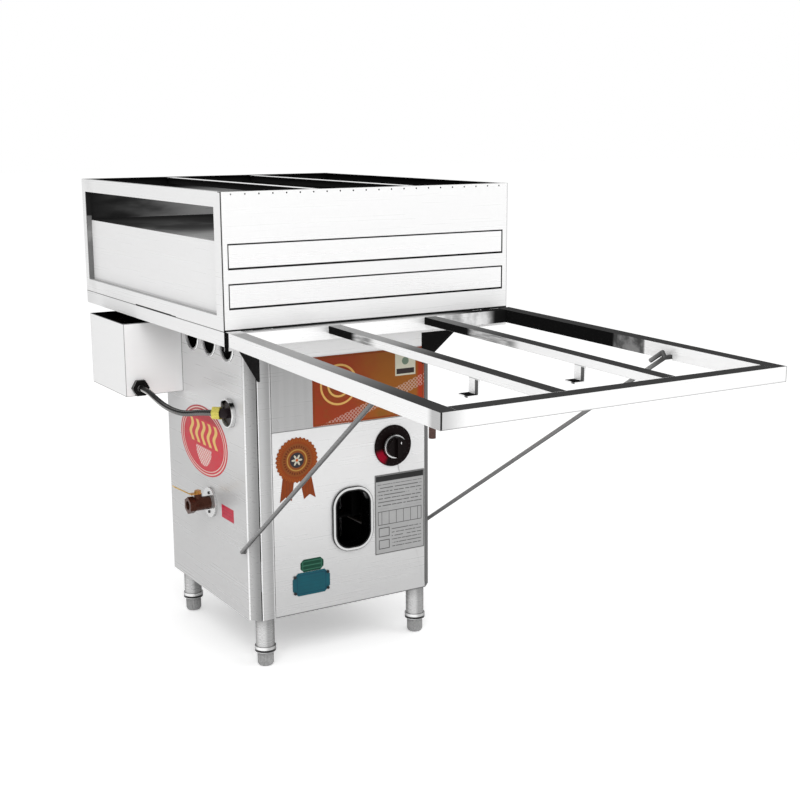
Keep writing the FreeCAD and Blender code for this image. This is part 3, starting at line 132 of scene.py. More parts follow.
class Value:
    """A socket that stands in sums: each operator makes one Math node."""

    def __init__(self, graph, socket):
        self.graph, self.socket = graph, socket

    def __add__(self, other):
        return self.graph.math("ADD", self, other)

    def __radd__(self, other):
        return self.graph.math("ADD", other, self)

    def __sub__(self, other):
        return self.graph.math("SUBTRACT", self, other)

    def __rsub__(self, other):
        return self.graph.math("SUBTRACT", other, self)

    def __mul__(self, other):
        return self.graph.math("MULTIPLY", self, other)

    def __mod__(self, other):
        return self.graph.math("FLOORED_MODULO", self, other)

    def __abs__(self):
        return self.graph.math("ABSOLUTE", self)


class Graph:
    """Makes the nodes of one shader tree from plain values and sockets."""

    def __init__(self, tree):
        self.tree = tree

    def feed(self, socket, value):
        if isinstance(value, Value):
            value = value.socket
        if isinstance(value, bpy.types.NodeSocket):
            self.tree.links.new(value, socket)
        elif isinstance(value, (tuple, list, Vector)) and socket.type == "RGBA":
            socket.default_value = tuple(value)[:3] + (1.0,)
        else:
            socket.default_value = value

    def node(self, kind, settings=(), **inputs):
        made = self.tree.nodes.new(kind)
        for key, value in dict(settings).items():
            setattr(made, key, value)
        for key, value in inputs.items():
            self.feed(made.inputs[key.replace("_", " ")], value)
        return made

    def out(self, kind, name=0, settings=(), **inputs):
        return Value(self, self.node(kind, settings, **inputs).outputs[name])

    def group(self, name, **inputs):
        return self.out("ShaderNodeGroup", 0, {"node_tree": bpy.data.node_groups[name]}, **inputs)

    def worked(self, kind, operation, values):
        made = self.node(kind, {"operation": operation})
        for socket, value in zip(made.inputs, values):
            self.feed(socket, value)
        return made

    def math(self, operation, *values):
        return Value(self, self.worked("ShaderNodeMath", operation, values).outputs[0])

    def vector(self, operation, *values):
        made = self.worked("ShaderNodeVectorMath", operation, values)
        return Value(self, made.outputs[1 if operation in ("LENGTH", "DOT_PRODUCT") else 0])

    def mix(self, factor, first, second):
        made = self.node("ShaderNodeMix", {"data_type": "RGBA"})
        for index, value in ((0, factor), (6, first), (7, second)):
            self.feed(made.inputs[index], value)
        return Value(self, made.outputs[2])

    def coats(self, colour, *coats):
        """Lays colours over one another, each where its mask is 1. A plain number is a grey."""
        for mask, over in coats:
            colour = self.mix(mask, colour, grey(over) if isinstance(over, float) else over)
        return colour

    def ramp(self, value, low, high, start=0.0, end=1.0):
        """Goes smoothly from start to end while the value goes from low to high."""
        return self.out("ShaderNodeMapRange", 0, {"interpolation_type": "SMOOTHSTEP"}, Value=value,
                        From_Min=low, From_Max=high, To_Min=start, To_Max=end)

    def fall(self, value, low, high):
        return self.ramp(value, low, high, 1.0, 0.0)

    def split(self, vector):
        return [Value(self, socket) for socket in self.node("ShaderNodeSeparateXYZ", Vector=vector).outputs]

    def join(self, x, y, z):
        return self.out("ShaderNodeCombineXYZ", X=x, Y=y, Z=z)

    def place(self):
        return self.out("ShaderNodeTexCoord", "Object")

    def working_place(self):
        """Millimetres from the middle of the box's face, back from it, and up from the floor."""
        moved = self.vector("SUBTRACT", self.place(), tuple(DATUM))
        made = self.worked("ShaderNodeVectorMath", "SCALE", [moved])
        made.inputs["Scale"].default_value = 1 / MM
        return self.split(made.outputs[0])

    def from_middle(self, node):
        """Millimetres across and up from the middle of a CAD node."""
        low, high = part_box(node)
        x, _, z = self.split(self.vector("SUBTRACT", self.place(), tuple((low + high) / 2)))
        return x * 1000.0, z * 1000.0

    def facing(self):
        return self.out("ShaderNodeTexCoord", "Normal")

    def sheet_place(self, width, height):
        """Millimetres across and up from the middle of a printed sheet, from its UV map."""
        uv = self.out("ShaderNodeTexCoord", "UV")
        return self.split(self.out("ShaderNodeMapping", Vector=uv, Location=(-width / 2, -height / 2, 0.0),
                                   Scale=(width, height, 1.0)))

    def noise(self, vector, scale, detail=3.0, roughness=0.5):
        return self.out("ShaderNodeTexNoise", "Fac", Vector=vector, Scale=scale, Detail=detail,
                        Roughness=roughness)

    def bump(self, height, distance, strength=1.0):
        return self.out("ShaderNodeBump", Height=height, Distance=distance, Strength=strength)

    def most(self, *values):
        return reduce(lambda one, two: self.math("MAXIMUM", one, two), values)

    def least(self, one, two):
        return self.math("MINIMUM", one, two)

    def line(self, distance, half, soft):
        """1 where the distance from a line is under half, with a soft edge."""
        return self.fall(abs(distance), half, half + soft)

    def past(self, a, b, centre, halves):
        """How far a and b lie past half a rectangle's width and height from its centre."""
        return abs(a - centre[0]) - halves[0], abs(b - centre[1]) - halves[1]

    def inside(self, a, b, centre, halves, soft=0.6):
        """1 inside an upright rectangle."""
        return self.fall(self.most(*self.past(a, b, centre, halves)), -soft, soft)

    def filled(self, a, b, span_a, span_b, soft=0.35):
        """1 between two values of a and two of b."""
        middles, halves = zip(*(((low + high) / 2, (high - low) / 2) for low, high in (span_a, span_b)))
        return self.inside(a, b, middles, halves, soft)

    def rounded(self, a, b, centre, halves, radius):
        """Distance out from the outline of an upright rectangle with round corners."""
        da, db = self.past(a, b, centre, (halves[0] - radius, halves[1] - radius))
        corner = self.reach(self.most(da, 0.0), self.most(db, 0.0))
        return corner + self.least(self.most(da, db), 0.0) - radius

    def border(self, a, b, centre, halves, half, soft=0.4):
        """1 on the outline of an upright rectangle."""
        return self.line(self.most(*self.past(a, b, centre, halves)), half, soft)

    def weave(self, a, b, pitch, half, soft):
        """1 on the threads of a slanting net."""
        return self.most(*(self.line(slant % pitch - pitch / 2, half, soft) for slant in (a + b, a - b)))

    def reach(self, a, b, centre=(0.0, 0.0), stretch=1.0):
        """Distance from a point of the sheet, with the upward part stretched."""
        da, db = a - centre[0], (b - centre[1]) * stretch
        return self.math("SQRT", da * da + db * db)

    def seen(self):
        """1 for the rays that reach the camera straight, or by way of metal or glass."""
        rays = self.node("ShaderNodeLightPath").outputs
        return self.most(rays["Is Camera Ray"], rays["Is Glossy Ray"], rays["Is Transmission Ray"])


def shader_group(name, inputs, output, build, kind="Float"):
    """A shared effect with named inputs and one output."""
    tree = bpy.data.node_groups.new(name, "ShaderNodeTree")
    for socket_name, socket_kind in inputs:
        tree.interface.new_socket(name=socket_name, in_out="INPUT", socket_type="NodeSocket" + socket_kind)
    tree.interface.new_socket(name=output, in_out="OUTPUT", socket_type="NodeSocket" + kind)
    graph = Graph(tree)
    given = {socket.name: Value(graph, socket) for socket in tree.nodes.new("NodeGroupInput").outputs}
    graph.feed(tree.nodes.new("NodeGroupOutput").inputs[output], build(graph, given))


def fold_line_effect(g, given):
    """Near an edge of a box two of the three distances to its faces are small, so the middle one counts."""
    low = g.split(g.vector("ABSOLUTE", g.vector("SUBTRACT", given["Place"], given["Low"])))
    high = g.split(g.vector("ABSOLUTE", g.vector("SUBTRACT", given["Place"], given["High"])))
    a, b, c = (g.least(low[k], high[k]) for k in range(3))
    middle = g.most(g.least(a, b), g.least(g.most(a, b), c))
    return 1.0 - g.ramp(middle, given["Width"] * 0.5, given["Width"])


def face_colour_effect(g, given):
    """One colour for each of the six ways that a surface can look."""
    x, y, z = g.split(g.vector("NORMALIZE", given["Facing"]))
    colour = g.mix(g.ramp(y, 0.45, 0.75), given["Front"], given["Back"])
    return g.coats(colour, (g.ramp(x, 0.45, 0.75), given["Right"]), (g.fall(x, -0.75, -0.45), given["Left"]),
                   (g.ramp(z, 0.6, 0.85), given["Up"]), (g.fall(z, -0.85, -0.6), given["Down"]))


def slanted_effect(g, given):
    """1 where a standing surface looks half way between two sides, as a cut corner does."""
    x, y, _ = g.split(g.vector("ABSOLUTE", g.vector("NORMALIZE", given["Facing"])))
    return g.ramp(g.least(x, y), 0.35, 0.6)


def grain_effect(g, given):
    """Long thin streaks of noise, level on standing faces, and along or across on those that look up."""
    x, _, z = g.split(g.vector("ABSOLUTE", g.vector("NORMALIZE", given["Facing"])))
    turned = g.most(g.ramp(x, 0.6, 0.8), g.ramp(z, 0.6, 0.8) * given["Turn"])
    px, py, pz = g.split(given["Place"])
    across = 3.0 + turned * 217.0
    along = 223.0 - across
    return g.noise(g.join(px * across, py * along, pz * 220.0), 1.0, 3.0, 0.6)


def marks_effect(g, given):
    """Soft hand marks: two sizes of noise, kept where both are high."""
    broad = g.ramp(g.noise(given["Place"], 9.0, 3.0, 0.55), 0.5, 0.72)
    fine = g.ramp(g.noise(given["Place"], 60.0, 2.0, 0.5), 0.42, 0.7)
    return broad * fine * given["Amount"]


def round_shine_effect(g, given):
    """Bands round a bar: bright towards the lamp, dark beside it and pale at the far side."""
    facing = g.vector("NORMALIZE", given["Facing"])
    towards = g.vector("DOT_PRODUCT", facing, g.vector("NORMALIZE", given["Lamp"]))
    bright = g.ramp(towards, 0.72, 0.99, 0.0, 0.55)
    middle = g.ramp(towards, -0.3, 0.5, 0.0, 0.45)
    rim = g.ramp(towards, -0.95, -0.75, 0.45, 0.0)
    return g.most(bright + middle, rim)


def make_effects():
    shader_group("fold_lines", [("Place", "Vector"), ("Low", "Vector"), ("High", "Vector"), ("Width", "Float")],
                 "Mask", fold_line_effect)
    shader_group("face_colours", [("Facing", "Vector")] + [(side, "Color") for side in SIDES], "Colour",
                 face_colour_effect, "Color")
    shader_group("slanted_faces", [("Facing", "Vector")], "Mask", slanted_effect)
    shader_group("brushed_grain", [("Place", "Vector"), ("Facing", "Vector"), ("Turn", "Float")], "Height",
                 grain_effect)
    shader_group("hand_marks", [("Place", "Vector"), ("Amount", "Float")], "Mask", marks_effect)
    shader_group("round_shine", [("Facing", "Vector"), ("Lamp", "Vector")], "Value", round_shine_effect)


# Finishes

def material(name, build, *given):
    """A material whose Principled BSDF takes what build returns."""
    made = bpy.data.materials.new(name)
    made.use_nodes = True
    graph = Graph(made.node_tree)
    shader = made.node_tree.nodes["Principled BSDF"]
    for key, value in build(graph, *given).items():
        graph.feed(shader.inputs[key], value)
    return made


def shaded(colour, factor):
    return tuple(min(1.0, c * factor) for c in colour)


def grey(value):
    return value, value, value


def looks(all_round, **others):
    """Six colours, one for each way that a face looks."""
    chosen = {side: others.get(side.lower(), all_round) for side in SIDES}
    return {side: grey(c) if isinstance(c, float) else c for side, c in chosen.items()}


def sheet_steel(name, colours, box=None, fold=0.0, paint=None, turn=0.0, rough=0.3, metal=0.3,
                marks=0.15, grain=0.005):
    """Sheet steel: a colour for each way it looks, painted places, brushed grain, hand marks and painted fold
    shade.
    """
    def build(g):
        place, facing = g.place(), g.facing()
        streaks = g.group("brushed_grain", Place=place, Facing=facing, Turn=turn)
        marked = g.group("hand_marks", Place=place, Amount=marks)
        result = g.group("face_colours", Facing=facing, **colours)
        if paint:
            result = paint(g, result, *g.working_place())
        dim = g.ramp(streaks, 0.3, 0.7, 0.0, 2 * grain) + marked * 0.06
        result = g.mix(dim, result, (0.02, 0.02, 0.02))
        if box:
            lines = g.group("fold_lines", Place=place, Low=tuple(box[0]), High=tuple(box[1]), Width=fold)
            result = g.mix(lines * 0.7, result, (0.05, 0.05, 0.05))
        light = g.node("ShaderNodeRGBToBW", Color=result).outputs[0]
        roughness = g.ramp(streaks, 0.2, 0.8, rough - 0.05, rough + 0.05) + marked * 0.1
        return {"Base Color": result, "Metallic": g.ramp(light, 0.12, 0.45, 0.0, metal), "Roughness": roughness,
                "Specular IOR Level": 0.0, "Normal": g.bump(streaks, 0.00001, 0.07)}
    return material(name, build)


def round_metal(name, dark, bright, rough=0.2, lamp=(-0.75, -0.66, 0.1), metal=0.7, paint=None):
    """Polished round bar or turned part, with painted bands of highlight and shade round it."""
    def build(g):
        place = g.place()
        shine = g.group("round_shine", Facing=g.facing(), Lamp=lamp)
        marked = g.group("hand_marks", Place=place, Amount=0.3)
        colour = g.mix(shine, grey(dark), grey(bright))
        colour = g.mix(marked * 0.2, colour, grey(dark * 1.6))
        if paint:
            colour = paint(g, colour, *g.working_place())
        streaks = g.group("brushed_grain", Place=place, Facing=g.facing(), Turn=0.0)
        return {"Base Color": colour, "Metallic": metal, "Specular IOR Level": 0.1,
                "Roughness": g.ramp(streaks, 0.2, 0.8, rough - 0.05, rough + 0.08),
                "Normal": g.bump(streaks, 0.00001, 0.15)}
    return material(name, build)


def moulded(name, colour, rough=0.45, pitch=900.0, depth=0.00008, gloss=0.12, paint=None):
    """Moulded plastic or enamel: fine pitted skin with paler rubbed spots."""
    def build(g):
        place = g.place()
        skin = g.noise(place, pitch, 2.0)
        rubbed = g.group("hand_marks", Place=place, Amount=1.0)
        result = g.mix(rubbed * 0.4, g.mix(skin, shaded(colour, 0.8), shaded(colour, 1.2)),
                       tuple(c * 1.5 + 0.01 for c in colour))
        if paint:
            result = paint(g, result, *g.working_place())
        return {"Base Color": result, "Specular IOR Level": gloss, "Normal": g.bump(skin, depth, 0.5),
                "Roughness": g.ramp(skin, 0.3, 0.7, rough - 0.08, rough + 0.08)}
    return material(name, build)


def rough_iron(name, colour):
    """Cast iron: coarse grains with rust-brown hollows."""
    def build(g):
        place = g.place()
        grains = g.noise(place, 320.0, 4.0, 0.65)
        stains = g.ramp(g.noise(place, 25.0, 3.0), 0.5, 0.75)
        result = g.mix(grains, shaded(colour, 0.6), shaded(colour, 1.4))
        result = g.mix(stains * 0.4, result, (0.03, 0.014, 0.008))
        return {"Base Color": result, "Specular IOR Level": 0.1, "Normal": g.bump(grains, 0.0004, 0.6),
                "Roughness": g.ramp(grains, 0.3, 0.7, 0.55, 0.8)}
    return material(name, build)


def turned_brass(name, colour, rough=0.3, metal=0.8):
    """Brass or bronze with turned streaks and darker tarnish."""
    def build(g):
        place = g.place()
        streaks = g.noise(g.vector("MULTIPLY", place, (600.0, 90.0, 600.0)), 1.0, 3.0)
        tarnish = g.ramp(g.noise(place, 70.0, 4.0, 0.6), 0.42, 0.72)
        result = g.mix(g.ramp(streaks, 0.3, 0.7), shaded(colour, 0.85), shaded(colour, 1.15))
        result = g.mix(tarnish * 0.5, result, shaded(colour, 0.45))
        return {"Base Color": result, "Metallic": metal, "Specular IOR Level": 0.1,
                "Roughness": g.ramp(tarnish, 0.0, 1.0, rough - 0.06, rough + 0.12),
                "Normal": g.bump(streaks, 0.00004, 0.4)}
    return material(name, build)


def printed(g, colour, fade, smooth, dull, **more):
    """What the shader of a printed sheet takes, with a polish that follows the noise of its print."""
    return {"Base Color": colour, "Roughness": g.ramp(fade, 0.3, 0.7, smooth, dull), "Specular IOR Level": 0.15,
            **more}


def dress(nodes, finish, bevel=0.0):
    """Gives CAD nodes their finish, and their edges a small radius."""
    for name in nodes:
        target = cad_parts[name]
        target.data.materials.clear()
        target.data.materials.append(finish)
        if bevel:
            weld = target.modifiers.new("join_corners", "WELD")
            weld.merge_threshold = WELD_DISTANCE
            edge = target.modifiers.new("edge_radius", "BEVEL")
            edge.width = bevel
            edge.segments = 2
            edge.limit_method = "ANGLE"
            edge.angle_limit = SHARP_ANGLE
            edge.use_clamp_overlap = True


def clad(node, name, all_round, bevel=0.0, **options):
    """Dresses one CAD node in sheet steel. An option named after a side is that side's colour."""
    faces = {side.lower(): options.pop(side.lower()) for side in SIDES if side.lower() in options}
    dress([node], sheet_steel(name, looks(all_round, **faces), **options), bevel)


# Mesh building

def new_piece(name, vertices, faces, finish, body, uv=None, smooth=False):
    """Puts arrays of points and faces into a mesh that rides on a body."""
    mesh = bpy.data.meshes.new(name)
    mesh.from_pydata(vertices.tolist(), [], [list(map(int, face)) for face in faces])
    mesh.update()
    if uv is not None:
        layer = mesh.uv_layers.new(name="UVMap")
        corners = np.empty(len(mesh.loops), dtype=np.int32)
        mesh.loops.foreach_get("vertex_index", corners)
        layer.data.foreach_set("uv", uv[corners].astype(np.float32).ravel())
    mesh.polygons.foreach_set("use_smooth", [smooth] * len(mesh.polygons))
    mesh.materials.append(finish)
    piece = bpy.data.objects.new(name, mesh)
    bpy.context.scene.collection.objects.link(piece)
    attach(piece, body)
    return piece


def ring_faces(rings, count, closed_ring=True):
    """Four-sided faces between rings of count points each."""
    steps = count if closed_ring else count - 1
    j, i = np.meshgrid(np.arange(rings - 1), np.arange(steps), indexing="ij")
    here, there = j * count + i, j * count + (i + 1) % count
    return np.stack([here, there, there + count, here + count], axis=-1).reshape(-1, 4)


def fan(tip, first, count, turned=False):
    """Triangles from a ring of points to one point."""
    ring = first + np.arange(count)
    pairs = zip(ring, np.roll(ring, -1))
    return [[tip, b, a] if turned else [tip, a, b] for a, b in pairs]


def printed_sheet(name, outline, middle, across, up, thickness, finish, body="base"):
    """A thin sheet: its outline drawn in to its middle in rings, raised by its thickness, its rim
    turned down."""
    across, up, middle = np.array(across, float), np.array(up, float), np.array(middle)
    out = np.cross(across, up)
    count = len(outline)
    scales = np.array([0.25, 0.5, 0.75, 0.97, 1.0, 1.0])
    rises = np.array([1.0, 1.0, 1.0, 1.0, 0.75, 0.0]) * thickness
    flat = outline[None, :, :] * scales[:, None, None]
    points = middle + flat[..., :1] * across + flat[..., 1:] * up + rises[:, None, None] * out
    points = np.concatenate([points.reshape(-1, 3), [middle + thickness * out], [middle]])
    flat = np.concatenate([flat.reshape(-1, 2), [[0, 0]], [[0, 0]]])
    uv = (flat - outline.min(0)) / (outline.max(0) - outline.min(0))
    top = count * len(scales)
    faces = [list(f[::-1]) for f in ring_faces(len(scales), count)]
    faces += fan(top, 0, count) + fan(top + 1, top - count, count, True)
    return new_piece(name, points, faces, finish, body, uv)


def round_outline(width, height, count, waves=0, depth=0.0):
    """An oval whose radius rises and falls by a share of itself, waves times round."""
    turn = np.linspace(0, 2 * math.pi, count, endpoint=False)
    swell = 1 + depth * np.cos(waves * turn)
    return np.stack([np.cos(turn) * width / 2 * swell, np.sin(turn) * height / 2 * swell], axis=1) * MM


def spread(corners, per_side):
    """Points at even steps along straight sides from corner to corner."""
    corners = np.array(corners, float)
    share = np.linspace(0, 1, per_side, endpoint=False)[:, None]
    pairs = zip(corners, np.roll(corners, -1, axis=0))
    return np.concatenate([here + (there - here) * share for here, there in pairs]) * MM


def cut_corner_outline(width, height, cut):
    """A rectangle with cut corners."""
    w, h = width / 2, height / 2
    return spread([(w, -h + cut), (w, h - cut), (w - cut, h), (-w + cut, h), (-w, h - cut), (-w, -h + cut),
                   (-w + cut, -h), (w - cut, -h)], 6)


def ribbon_outline(w, h, lean, notch=9):
    """A ribbon's end, w and h being half its size, that leans to one side and has a notch in its foot."""
    return spread([(w, h), (-w, h), (-w + lean, -h), (lean, -h + notch), (w + lean, -h)], 8)


def path_frames(path):
    """Two directions across a path at each of its points, carried along it without twist."""
    tangent = np.gradient(path, axis=0)
    tangent /= np.linalg.norm(tangent, axis=1)[:, None]
    side = np.cross(tangent[0], [0.0, 0.0, 1.0])
    side /= np.linalg.norm(side)
    carried = []
    for t in tangent:
        side = side - t * side.dot(t)
        side /= np.linalg.norm(side)
        carried.append(side)
    return np.array(carried), np.cross(tangent, carried)


def turned_ring(name, profile, origin, axis, finish, body, count=64):
    """A closed loop of (distance along the axis, radius), turned round the axis."""
    axis = np.array(axis, float) / np.linalg.norm(axis)
    side = np.cross(axis, [0.0, 0.0, 1.0] if abs(axis[2]) < 0.9 else [1.0, 0.0, 0.0])
    side /= np.linalg.norm(side)
    other = np.cross(axis, side)
    turn = np.linspace(0, 2 * math.pi, count, endpoint=False)
    profile = np.array(profile, float) * MM
    rim = np.cos(turn)[:, None] * side + np.sin(turn)[:, None] * other
    points = (np.array(origin)[None, None, :] + profile[:, None, :1] * axis
              + profile[:, None, 1:] * rim[None, :, :]).reshape(-1, 3)
    faces = ring_faces(len(profile) + 1, count)[:, [0, 3, 2, 1]] % len(points)
    return new_piece(name, points, faces, finish, body, smooth=True)


def smooth_path(route):
    """Points along the smooth curve that a route's points pull to themselves."""
    line = bpy.data.curves.new("hose_line", "CURVE")
    line.dimensions = "3D"
    line.resolution_u = 24
    spline = line.splines.new("NURBS")
    spline.points.add(len(route) - 1)
    for point, place in zip(spline.points, route):
        point.co = (*at(*place), 1.0)
    spline.order_u = 3
    spline.use_endpoint_u = True
    guide = bpy.data.objects.new("hose_line", line)
    bpy.context.scene.collection.objects.link(guide)
    bpy.context.view_layer.update()
    sampled = bpy.data.meshes.new_from_object(guide)
    path = np.array([v.co for v in sampled.vertices])
    bpy.data.objects.remove(guide)
    bpy.data.meshes.remove(sampled)
    bpy.data.curves.remove(line)
    return path


# Steam box
# A paint takes a piece's colour and the place in working millimetres, and lays over it the tones seen there,
# most of them painted light and shade.

def outlined(g, result, x, y, z):
    """Painted shade: dark lines at the corners and foot, and in the gap round each drawer."""
    gaps = [(g.filled(x, z, (-294.9, 295.3), (low - 3.2, high + 1.7)), 0.006) for low, high in DRAWER_FACES]
    return g.coats(result, (g.fall(x, -304.6, -303.4), 0.05), (g.ramp(x, 304.9, 305.5), 0.12),
                   (g.fall(z, 704.2, 705.2), 0.008), *gaps)


def frame_lines(g, result, x, y, z):
    # Painted shade: dark lines along the frame's foot, darker along part of it, and in its inner top corner at
    # the back, with a mottled painted shade towards its back.
    low = g.fall(z, 702.0, 702.8)
    shut = g.ramp(z, 866.0, 869.0) * g.ramp(x, -305.4, -304.6) * g.ramp(y, 700.0, 720.0)
    thick = g.fall(z, 703.8, 704.6) * g.ramp(y, 246.0, 250.0) * g.fall(y, 438.0, 442.0)
    mottled_back_shade = g.ramp(g.noise(g.place(), 14.0, 3.0), 0.5, 0.7) * g.ramp(y, 560.0, 740.0)
    return g.coats(result, (low, 0.10), (shut, 0.018), (thick, 0.01), (mottled_back_shade * 0.3, 0.6))


def wall_shade(g, result, x, y, z):
    return g.coats(result, (g.ramp(y, 200.0, 700.0, 0.0, 0.5), 0.92),
                   (g.ramp(z, 729.0, 734.0, 0.3, 0.0), 0.4))


def back_shade(g, result, x, y, z):
    swell = g.ramp(g.noise(g.join(x * 0.008, 0.0, z * 0.03), 1.0), 0.35, 0.65)
    pale = g.coats(grey(0.06), (swell, 0.22), (g.ramp(x, -150.0, -20.0), 0.42))
    inner = g.fall(y, 746.9, 747.2) * g.fall(z, 905.0, 928.0) * g.fall(x, 40.0, 120.0)
    return g.mix(inner * g.ramp(x, -290.0, -20.0, 0.1, 1.0), result, pale)


def roof_shade(g, result, x, y, z):
    near = g.fall(y, 100.0, 720.0)
    swell = g.noise(g.join(x * 0.006, y * 0.004, 0.0), 1.0, 3.0)
    pale = g.mix(g.ramp(swell, 0.42, 0.62), grey(0.06), grey(0.22))
    lit = g.fall(y, 80.0, 400.0) * g.ramp(swell, 0.3, 0.6, 0.5, 1.0)
    return g.coats(result, (near, pale), (lit, 0.36), (g.ramp(x, -110.0, 60.0), 0.012))


def pan_shade(g, result, x, y, z):
    return g.coats(result, (g.ramp(y, 640.0, 748.0, 0.0, 0.35), 0.6),
                   (g.fall(x, -299.0, -297.0) * g.fall(y, 0.3, 0.6), 0.006))


class STEAMER_OT_steel_box(bpy.types.Operator):
    """Dress the sheet steel of the steam box, its drawers and the pan under it"""
    bl_idname = "steamer.steel_box"
    bl_label = "Steam Box Steel"

    def execute(self, context):
        steel = context.scene.steamer_steel
        white, dark = tuple(steel.box_colour), tuple(steel.inner_colour)
        # The colours given for each side paint the light, shade and reflection that side gets; the inner colour
        # is unlit shade.
        clad("box_front_panel", "box_front_steel", shaded(white, 0.96), back=dark, up=0.05, left=0.9,
             paint=outlined, metal=0.1)
        for name, (low, high) in zip(("lower_drawer", "upper_drawer"), DRAWER_FACES):
            def edged(g, result, x, y, z, low=low, high=high):
                # Painted shade along the edges of each drawer's face.
                return g.mix(g.filled(x, z, (-292.8, 292.4), (low + 0.5, high - 1.1)), grey(0.006), result)
            clad(name, name + "_steel", white, paint=edged)
            clad(name.replace("drawer", "tray"), name + "_tray_steel", 0.6, turn=1.0)
        clad("left_side_frame", "side_frame_steel", white, right=dark, front=0.17, up=0.42, down=0.06, back=0.3,
             paint=frame_lines, metal=0.15)
        clad("left_chamber_wall", "left_wall_steel", white, right=dark, up=0.2, front=0.3,
             paint=wall_shade, metal=0.1)
        clad("right_chamber_wall", "right_wall_steel", dark, right=0.5)
        clad("box_right_panel", "right_panel_steel", 0.85, left=dark, up=0.7)
        clad("box_back_panel", "back_panel_steel", 0.8, front=dark, up=0.05, paint=back_shade)
        clad("chamber_roof", "roof_steel", dark, up=0.022, paint=roof_shade, rough=0.25)
        clad("top_bars", "top_bar_steel", 0.02, up=0.9, turn=1.0)
        clad("deck_pan", "pan_steel", white, front=0.88, up=0.2, down=0.12, right=0.8, back=0.7,
             paint=pan_shade, metal=0.15)
        return {"FINISHED"}


# Shelf

def level(y, z):
    """Height over the shelf's own plane, which droops towards the front."""
    return z - SHELF_TOP + (y + SHELF_HINGE_BACK) * -SHELF_DROOP


def sides(g):
    """1 on the faces that look left, to the front and up."""
    x, y, z = g.split(g.facing())
    return g.fall(x, -0.8, -0.5), g.fall(y, -0.8, -0.5), g.ramp(z, 0.7, 0.9)


def front_face(g, result, x, y, z):
    # Painted shade on the front faces: greyer towards the left end, black at the left end, grey at the right
    # end and along the lower edge.
    front = sides(g)[1]
    edge = front * g.ramp(level(y, z), -24.0, -23.1, 0.65, 0.0)
    return g.coats(result, (front * g.ramp(x, -321.0, -268.0, 0.75, 0.0), 0.42),
                   (front * g.fall(x, -318.6, -317.4), 0.008), (front * g.ramp(x, 318.6, 319.8), 0.35),
                   (edge, 0.25))


def left_rail(g, result, x, y, z):
    # Painted reflection on the rail's top, lighter towards the back, and painted shade on its left face, black
    # at the back end and grey at the front end.
    left, _, up = sides(g)
    result = g.coats(result, (up * g.ramp(y, -660.0, -220.0), 0.34), (up * g.ramp(y, -45.0, -15.0), 0.7),
                     (left * g.ramp(y, -23.0, -21.0), 0.008), (left * g.fall(y, -706.0, -690.0), 0.50))
    return front_face(g, result, x, y, z)


def right_rail(g, result, x, y, z):
    # Painted shade on the rail's inner face: mottled grey, then black towards the back.
    left = sides(g)[0]
    cloud = g.ramp(g.noise(g.place(), 45.0, 3.0), 0.35, 0.65, 0.06, 0.22)
    result = g.coats(result, (left * g.ramp(y, -436.0, -430.0), g.join(cloud, cloud, cloud)),
                     (left * g.ramp(y, -358.0, -350.0), 0.006))
    return front_face(g, result, x, y, z)


def bar(black, pale, top_pale, top_far):
    """The painted light of a bar: where the painted shade on its side turns pale and black, and the tone and
    start of the painted reflection on its top.
    """
    def paint(g, result, x, y, z):
        left, _, up = sides(g)
        streak = g.ramp(g.noise(g.join(0.0, y * 0.02, z * 0.3), 1.0), 0.35, 0.65, 0.25, 0.6)
        height = level(y, z)
        below = g.fall(height, -16.0, -15.0)
        off = abs(y + 494.0)
        outline = below * g.ramp(off, 11.4, 12.2) * left
        edge = g.fall(height, -14.2, -13.0) * g.ramp(height, -15.5, -14.6) * left
        return g.coats(result,
                       (left * g.ramp(y, pale - 25.0, pale + 10.0), g.join(streak, streak, streak)),
                       (left * g.ramp(y, black - 12.0, black + 12.0), 0.008),
                       (up * g.ramp(y, top_far, top_far + 240.0), top_pale), (outline, 0.12),
                       (below * up, 0.008), (edge * 0.7, 0.25))
    return paint


def back_rail(g, result, x, y, z):
    # Painted reflection in bands on the rail's top, and painted shade on its front, mottled, then black towards
    # the right end.
    _, front, up = sides(g)
    bands = g.coats(grey(0.50), (g.ramp(y, -24.0, -21.0), 0.18), (g.ramp(y, -15.0, -12.5), 0.006),
                    (g.ramp(x, 90.0, 220.0), 0.012))
    cloud = g.ramp(g.noise(g.place(), 30.0, 4.0), 0.35, 0.65, 0.3, 0.75)
    return g.coats(result, (up, bands), (front * g.ramp(x, 110.0, 150.0), g.join(cloud, cloud, cloud)),
                   (front * g.ramp(x, 235.0, 255.0), 0.008))


class STEAMER_OT_steel_shelf(bpy.types.Operator):
    """Dress the rails and bars of the shelf"""
    bl_idname = "steamer.steel_shelf"
    bl_label = "Shelf Steel"

    def execute(self, context):
        steel = context.scene.steamer_steel
        # Every rail and bar gets a painted dark reflection on its upper faces and painted shade underneath.
        for name, paint, turn in (
                ("shelf_left_rail", left_rail, 1.0), ("shelf_right_rail", right_rail, 1.0),
                ("shelf_front_rail", front_face, 0.0), ("shelf_back_rail", back_rail, 0.0),
                ("shelf_bar_left", bar(-130.0, -185.0, 0.30, -420.0), 1.0),
                ("shelf_bar_right", bar(-190.0, -320.0, 0.16, -330.0), 1.0)):
            clad(name, name + "_steel", tuple(steel.box_colour), 0.0004, up=tuple(steel.top_colour), down=0.3,
                 paint=paint, turn=turn)
        return {"FINISHED"}


# Cabinet

